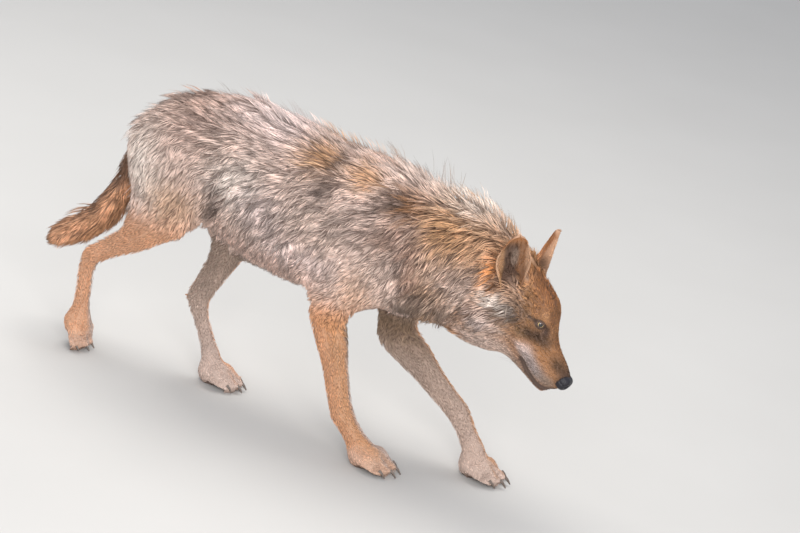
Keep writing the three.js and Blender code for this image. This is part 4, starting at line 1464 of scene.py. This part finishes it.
class Nodes:
    """Adds nodes to a tree: sockets are filled by constants or links, by name or by number."""

    def __init__(self, tree):
        self.tree = tree

    def add(self, kind, settings=(), **values):
        node = self.tree.nodes.new(kind)
        for key, value in dict(settings).items():
            setattr(node, key, value)
        for key, value in values.items():
            socket = int(key[1:]) if key[1:].isdigit() else key.replace("_", " ")
            self.fill(node.inputs[socket], value)
        return node

    def fill(self, socket, value):
        if isinstance(value, bpy.types.NodeSocket):
            self.tree.links.new(value, socket)
        elif isinstance(value, tuple) and len(value) == 3 and len(socket.default_value) == 4:
            socket.default_value = (*value, 1)
        else:
            socket.default_value = value

    def math(self, operation, a, b=0.0, clamp=False):
        settings = {"operation": operation, "use_clamp": clamp}
        return self.add("ShaderNodeMath", settings, i0=a, i1=b).outputs[0]

    def between(self, value, low, high):
        node = self.add("ShaderNodeMapRange", {"interpolation_type": "SMOOTHSTEP"}, Value=value)
        node.inputs["From Min"].default_value = low
        node.inputs["From Max"].default_value = high
        return node.outputs["Result"]

    def mix(self, factor, a, b, blend="MIX"):
        node = self.add("ShaderNodeMix", {"data_type": "RGBA", "blend_type": blend}, i0=factor)
        self.fill(node.inputs[6], a)
        self.fill(node.inputs[7], b)
        return node.outputs[2]

    def attribute(self, name):
        return self.add("ShaderNodeAttribute", {"attribute_name": name})

    def place(self):
        return self.add("ShaderNodeTexCoord").outputs["Object"]

    def speckle(self, where, scale, detail=2.0):
        """Soft noise between 0 and 1."""
        values = {"Vector": where, "Scale": scale, "Detail": detail}
        return self.add("ShaderNodeTexNoise", **values).outputs["Fac"]

    def line(self, value, start, slope):
        """start + slope * value."""
        return self.math("ADD", start, self.math("MULTIPLY", value, slope))

    def finish(self, shader, **values):
        """Sets or links the inputs of a shader."""
        for key, value in values.items():
            self.fill(shader.inputs[key.replace("_", " ")], value)

    def relief(self, shader, height, strength, distance):
        """Small bumps in the shader's normal."""
        values = {"Height": height, "Strength": strength, "Distance": distance}
        bump = self.add("ShaderNodeBump", **values)
        self.fill(shader.inputs["Normal"], bump.outputs["Normal"])

# %% The shared coat group
def coat_group():
    group = new_group("wolf coat", [("Depth of shade", "NodeSocketFloat", 1.0)],
                      [("Color", "NodeSocketColor"), ("Roughness", "NodeSocketFloat")])
    n = Nodes(group)
    given = group.nodes.new("NodeGroupInput").outputs[0]
    fleece = n.attribute("fleece").outputs["Color"]
    along, shade, tips = (n.attribute(a).outputs["Fac"] for a in ("along", "shade", "tips"))
    where = n.place()
    patches = n.speckle(where, 22.0, 4.0)
    fine = n.speckle(where, 260.0, 2.0)
    root = n.mix(0.35, fleece, (0.30, 0.20, 0.15))
    # painted shade deep in the coat: the lower part of each lock darkens towards black
    root = n.mix(n.math("MULTIPLY", 0.55, given), root, (0.08, 0.05, 0.04))
    colour = n.mix(n.between(along, 0.1, 0.72), root, fleece)
    light = n.line(shade, 0.70, 0.72)
    light = n.math("ADD", light, n.math("MULTIPLY", n.math("SUBTRACT", patches, 0.5), 0.5))
    light = n.math("ADD", light, n.math("MULTIPLY", n.math("SUBTRACT", fine, 0.5), 0.4))
    grey = n.add("ShaderNodeCombineColor", i0=light, i1=light, i2=light).outputs[0]
    colour = n.mix(1.0, colour, grey, "MULTIPLY")
    chosen = n.between(n.math("SUBTRACT", patches, n.math("MULTIPLY", shade, 0.5)), 0.32, 0.10)
    black = n.math("MULTIPLY", n.between(along, 0.5, 0.9), n.math("MULTIPLY", tips, chosen), True)
    colour = n.mix(black, colour, CHARCOAL)
    rough = n.line(shade, 0.55, 0.2)
    out = group.nodes.new("NodeGroupOutput")
    n.tree.links.new(colour, out.inputs[0])
    n.tree.links.new(rough, out.inputs[1])
    return group


COAT_GROUP = coat_group()
print("nodes in the coat group:", len(COAT_GROUP.nodes))

# %% Hair materials
def new_material(name):
    material = bpy.data.materials.new(name)
    material.use_nodes = True
    shader = material.node_tree.nodes["Principled BSDF"]
    return material, Nodes(material.node_tree), shader


def hair_material(name, shade_depth, bump):
    material, n, shader = new_material(name)
    hair = n.add("ShaderNodeGroup", {"node_tree": COAT_GROUP}, Depth_of_shade=shade_depth).outputs
    n.finish(shader, Base_Color=hair["Color"], Roughness=hair["Roughness"])
    n.finish(shader, Specular_IOR_Level=0.18)
    if bump:
        n.relief(shader, n.speckle(n.place(), 700.0, 3.0), 0.6, 0.0006)
    return material


coat_material = hair_material("coat", shade_depth=1.0, bump=False)
skin_material = hair_material("pelt", shade_depth=1.0, bump=True)
for obj in coat:
    obj.data.materials.append(coat_material)
store(body, "fleece", colour)
# the skin takes the lower colour of a lock, with its painted shade
store(body, "along", np.full(len(p), 0.3))
store(body, "shade", np.full(len(p), 0.5))
store(body, "tips", dark)
body.materials.append(skin_material)
smooth_shaded(body)
print("hair materials:", coat_material.name, skin_material.name)

# %% [markdown]
# ## Eye, nose and claw materials
#
# The eye's rings come from the value stored on its points: 1 on the line of sight, falling
# outwards. A clear coat keeps it wet. The nose leather is nearly black, pebbled and a little
# moist. Claws are dark horn, a little mottled.

# %% Wet and hard materials
# start and end of each soft edge between the rings of the eye, from the white in to the pupil
WHITE_END, IRIS_START, RING_END, PUPIL = (0.835, 0.85), (0.86, 0.88), (0.90, 0.93), (0.984, 0.989)


def eye_material():
    material, n, shader = new_material("eye")
    sight = n.attribute("sight").outputs["Fac"]
    streak = n.speckle(n.place(), 900.0, 3.0)
    iris = n.mix(streak, (0.46, 0.32, 0.11), (0.80, 0.62, 0.28))
    iris = n.mix(n.between(sight, *RING_END), (0.24, 0.12, 0.04), iris)
    white = n.mix(streak, (0.10, 0.05, 0.03), (0.20, 0.13, 0.09))
    colour = n.mix(n.between(sight, *WHITE_END), white, (0.02, 0.012, 0.008))
    colour = n.mix(n.between(sight, *IRIS_START), colour, iris)
    colour = n.mix(n.between(sight, *PUPIL), colour, (0.004, 0.003, 0.003))
    n.finish(shader, Base_Color=colour, Roughness=0.12, Coat_Weight=1.0, Coat_Roughness=0.02)
    return material


def nose_material():
    material, n, shader = new_material("nose leather")
    where = n.place()
    cells = n.add("ShaderNodeTexVoronoi", Vector=where, Scale=750.0).outputs["Distance"]
    tone = n.speckle(where, 90.0, 3.0)
    leather = n.mix(tone, (0.008, 0.008, 0.010), (0.026, 0.024, 0.032))
    n.finish(shader, Base_Color=leather, Roughness=n.line(tone, 0.18, 0.25))
    n.finish(shader, Specular_IOR_Level=0.3)
    n.relief(shader, cells, 0.7, 0.0007)
    return material


def claw_material():
    material, n, shader = new_material("claw horn")
    tone = n.speckle(n.place(), 240.0, 4.0)
    horn = n.mix(tone, (0.045, 0.033, 0.027), (0.15, 0.105, 0.078))
    n.finish(shader, Base_Color=horn, Roughness=n.line(tone, 0.3, 0.3))
    return material


eye_look, nose_look, claw_look = eye_material(), nose_material(), claw_material()
for obj in eyes.values():
    obj.data.materials.append(eye_look)
nose.data.materials.append(nose_look)
for name in CLAWS:
    NODES[name].data.materials.clear()
    NODES[name].data.materials.append(claw_look)
print("materials:", [m.name for m in bpy.data.materials])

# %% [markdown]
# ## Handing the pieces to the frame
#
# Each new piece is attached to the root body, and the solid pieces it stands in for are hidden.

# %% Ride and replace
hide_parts(*FLESH)
for obj in [skin] + coat:
    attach(obj, "root")
for name, obj in eyes.items():
    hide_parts(name)
    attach(obj, "root")
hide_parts("nose")
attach(nose, "root")
print("pieces:", 2 + len(coat) + len(eyes))

# %% [markdown]
# ## Stage, light and camera
#
# A pale floor under a soft overhead light, with a weaker fill from the viewer's side. The camera
# is a long lens from the wolf's right, above its back and a little in front of it, turned
# slightly about its own axis so that the wolf walks downhill in the view.

# %% Stage, light and camera
def floor_plane():
    mesh = bpy.data.meshes.new("stage_floor")
    mesh.from_pydata([(-14, -14, 0), (14, -14, 0), (14, 14, 0), (-14, 14, 0)], [], [(0, 1, 2, 3)])
    obj = placed("stage_floor", mesh)
    material, n, shader = new_material("stage paper")
    paper = n.mix(n.speckle(n.place(), 3.0), (0.50, 0.49, 0.47), (0.53, 0.52, 0.50))
    n.finish(shader, Base_Color=paper, Roughness=0.9)
    mesh.materials.append(material)


def area_light(name, place, target, size, power, tint):
    light = bpy.data.lights.new(name, "AREA")
    light.shape, light.size, light.energy, light.color = "DISK", size, power, tint
    obj = placed(name, light)
    obj.location = place
    aim = Vector(target) - Vector(place)
    obj.rotation_euler = aim.to_track_quat("-Z", "Y").to_euler()


floor_plane()
area_light("sky_light", (-0.9, 0.8, 3.2), (0, 0, 0.3), 2.6, 98, (1.0, 0.98, 0.95))
area_light("fill_light", (1.6, -3.4, 1.6), (0.1, 0, 0.3), 2.4, 150, (1.0, 0.98, 0.97))
world = bpy.data.worlds.new("studio")
bpy.context.scene.world = world
world.use_nodes = True
world.node_tree.nodes["Background"].inputs["Color"].default_value = (0.9, 0.93, 1.0, 1)
world.node_tree.nodes["Background"].inputs["Strength"].default_value = 0.72

TURN, RISE, ROLL = (math.radians(a) for a in (21, 22.28, 12.32))
DISTANCE = 7.0
FRAME_SHIFT = Vector((-0.07204, 0.00514, 0))
AIM = Vector((0.25548, 0, 0.37815)) + FRAME_SHIFT
FOCAL, SENSOR = 159.3, 36

right = Vector((math.cos(TURN), math.sin(TURN), 0))
back = Vector((math.sin(TURN) * math.cos(RISE), -math.cos(TURN) * math.cos(RISE), math.sin(RISE)))
up = back.cross(right)
place = back * DISTANCE + FRAME_SHIFT
rolled = right * math.cos(ROLL) + up * math.sin(ROLL)
back = (place - AIM).normalized()
right = (rolled - back * rolled.dot(back)).normalized()
up = back.cross(right)
camera = placed("camera", bpy.data.cameras.new("camera"))
camera.matrix_world = Matrix.Translation(place) @ Matrix((right, up, back)).transposed().to_4x4()
camera.data.lens, camera.data.sensor_width = FOCAL, SENSOR
bpy.context.scene.camera = camera
bpy.context.scene.view_settings.view_transform = "Standard"
print("camera at", [round(c, 3) for c in place])
